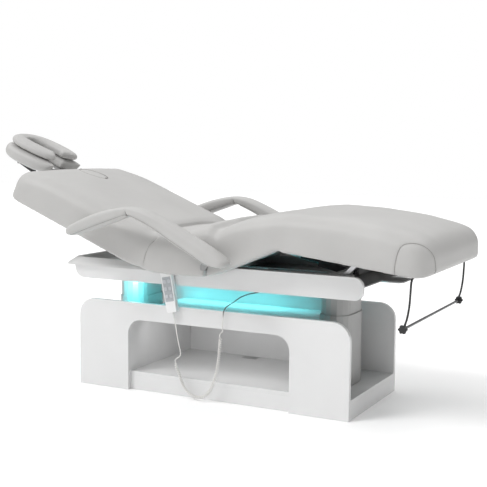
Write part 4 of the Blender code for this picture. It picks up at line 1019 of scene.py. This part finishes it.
def make_lights():
    world = bpy.data.worlds.new("studio")
    world.use_nodes = True
    tree = world.node_tree
    seen = tree.nodes["Background"]
    seen.inputs["Color"].default_value = (1.0, 1.0, 1.0, 1.0)
    lit = add(tree, "ShaderNodeBackground", Color=(1.0, 1.0, 1.0, 1.0), Strength=AMBIENT)
    mix = add(tree, "ShaderNodeMixShader")
    tree.links.new(add(tree, "ShaderNodeLightPath").outputs["Is Camera Ray"], mix.inputs["Fac"])
    tree.links.new(lit.outputs["Background"], mix.inputs[1])
    tree.links.new(seen.outputs["Background"], mix.inputs[2])
    tree.links.new(mix.outputs["Shader"], tree.nodes["World Output"].inputs["Surface"])
    bpy.context.scene.world = world
    bpy.context.scene.view_settings.view_transform = "Standard"

    def sun(name, toward, width, strength):
        data = bpy.data.lights.new(name, "SUN")
        data.angle = radians(width)
        data.energy = strength
        lamp = bpy.data.objects.new(name, data)
        COLLECTION.objects.link(lamp)
        lamp.rotation_euler = Vector(toward).to_track_quat("Z", "Y").to_euler()

    def area(name, place, target, size, power, color, spread):
        data = bpy.data.lights.new(name, "AREA")
        data.spread = radians(spread)
        data.shape = "RECTANGLE"
        data.size, data.size_y = size
        data.energy = power
        data.color = color
        lamp = bpy.data.objects.new(name, data)
        COLLECTION.objects.link(lamp)
        lamp.location = place
        lamp.rotation_euler = (Vector(target) - Vector(place)).to_track_quat("-Z", "Y").to_euler()
        return lamp

    sun("key", (-1.0, -1.2, 1.8), 24, 1.45)
    sun("top", (-0.3, 0.5, 2.0), 100, 1.75)
    sun("front", (0.2, -2.0, 0.6), 26, 0.22)
    area("niche_fill", (0.0, -0.16, 0.2880), (0.0, 0.02, 0.08), (0.62, 0.03), 0.36, (1, 1, 1), 170)
    for side in (-1, 1):
        lamp = area("tray_glow_%d" % side, (-0.06, side * 0.20, 0.4600), (-0.06, side * 0.16, 0.0),
                    (0.66, 0.05), 0.75, CYAN, 84)
        lamp.parent = BODIES["upper_frame"]
    lamp = area("column_glow", (-0.38, -0.195, 0.440), (-0.46, -0.110, 0.40), (0.10, 0.03), 0.85, CYAN, 130)
    lamp.parent = BODIES["upper_frame"]


def make_floor():
    bm = bmesh.new()
    bmesh.ops.create_grid(bm, x_segments=1, y_segments=1, size=14.0)
    bmesh.ops.translate(bm, vec=(0, 0, -0.0005), verts=bm.verts)
    floor = from_bmesh("floor", bm, False)
    mat, tree, shader = principled("pale floor", (0.93, 0.93, 0.93), 0.7)
    shader.inputs["Specular IOR Level"].default_value = 0.1
    shader.inputs["Emission Color"].default_value = (1.0, 1.0, 1.0, 1.0)
    shader.inputs["Emission Strength"].default_value = 0.08
    patch = texture(tree, object_place(tree), 0.6, 2.0)
    low, high = tinted((0.93, 0.93, 0.93), 0.006)
    tree.links.new(ramp(tree, patch.outputs["Fac"], low, high), shader.inputs["Base Color"])
    lay_on(floor, mat)


def main():
    make_camera()
    cord = cord_material()
    make_cord(cord)
    leather = leather_material("grey leather", (0.470, 0.465, 0.456))
    thread = paint_material("seam thread", (0.21, 0.20, 0.19), 0.7, 0.0, 0.1, 900.0, 0.3)
    dress_nodes(leather, thread, cord)
    make_mattress(leather, thread)
    make_armrests(leather, thread)
    make_cradle(leather)
    make_lights()
    make_floor()


main()
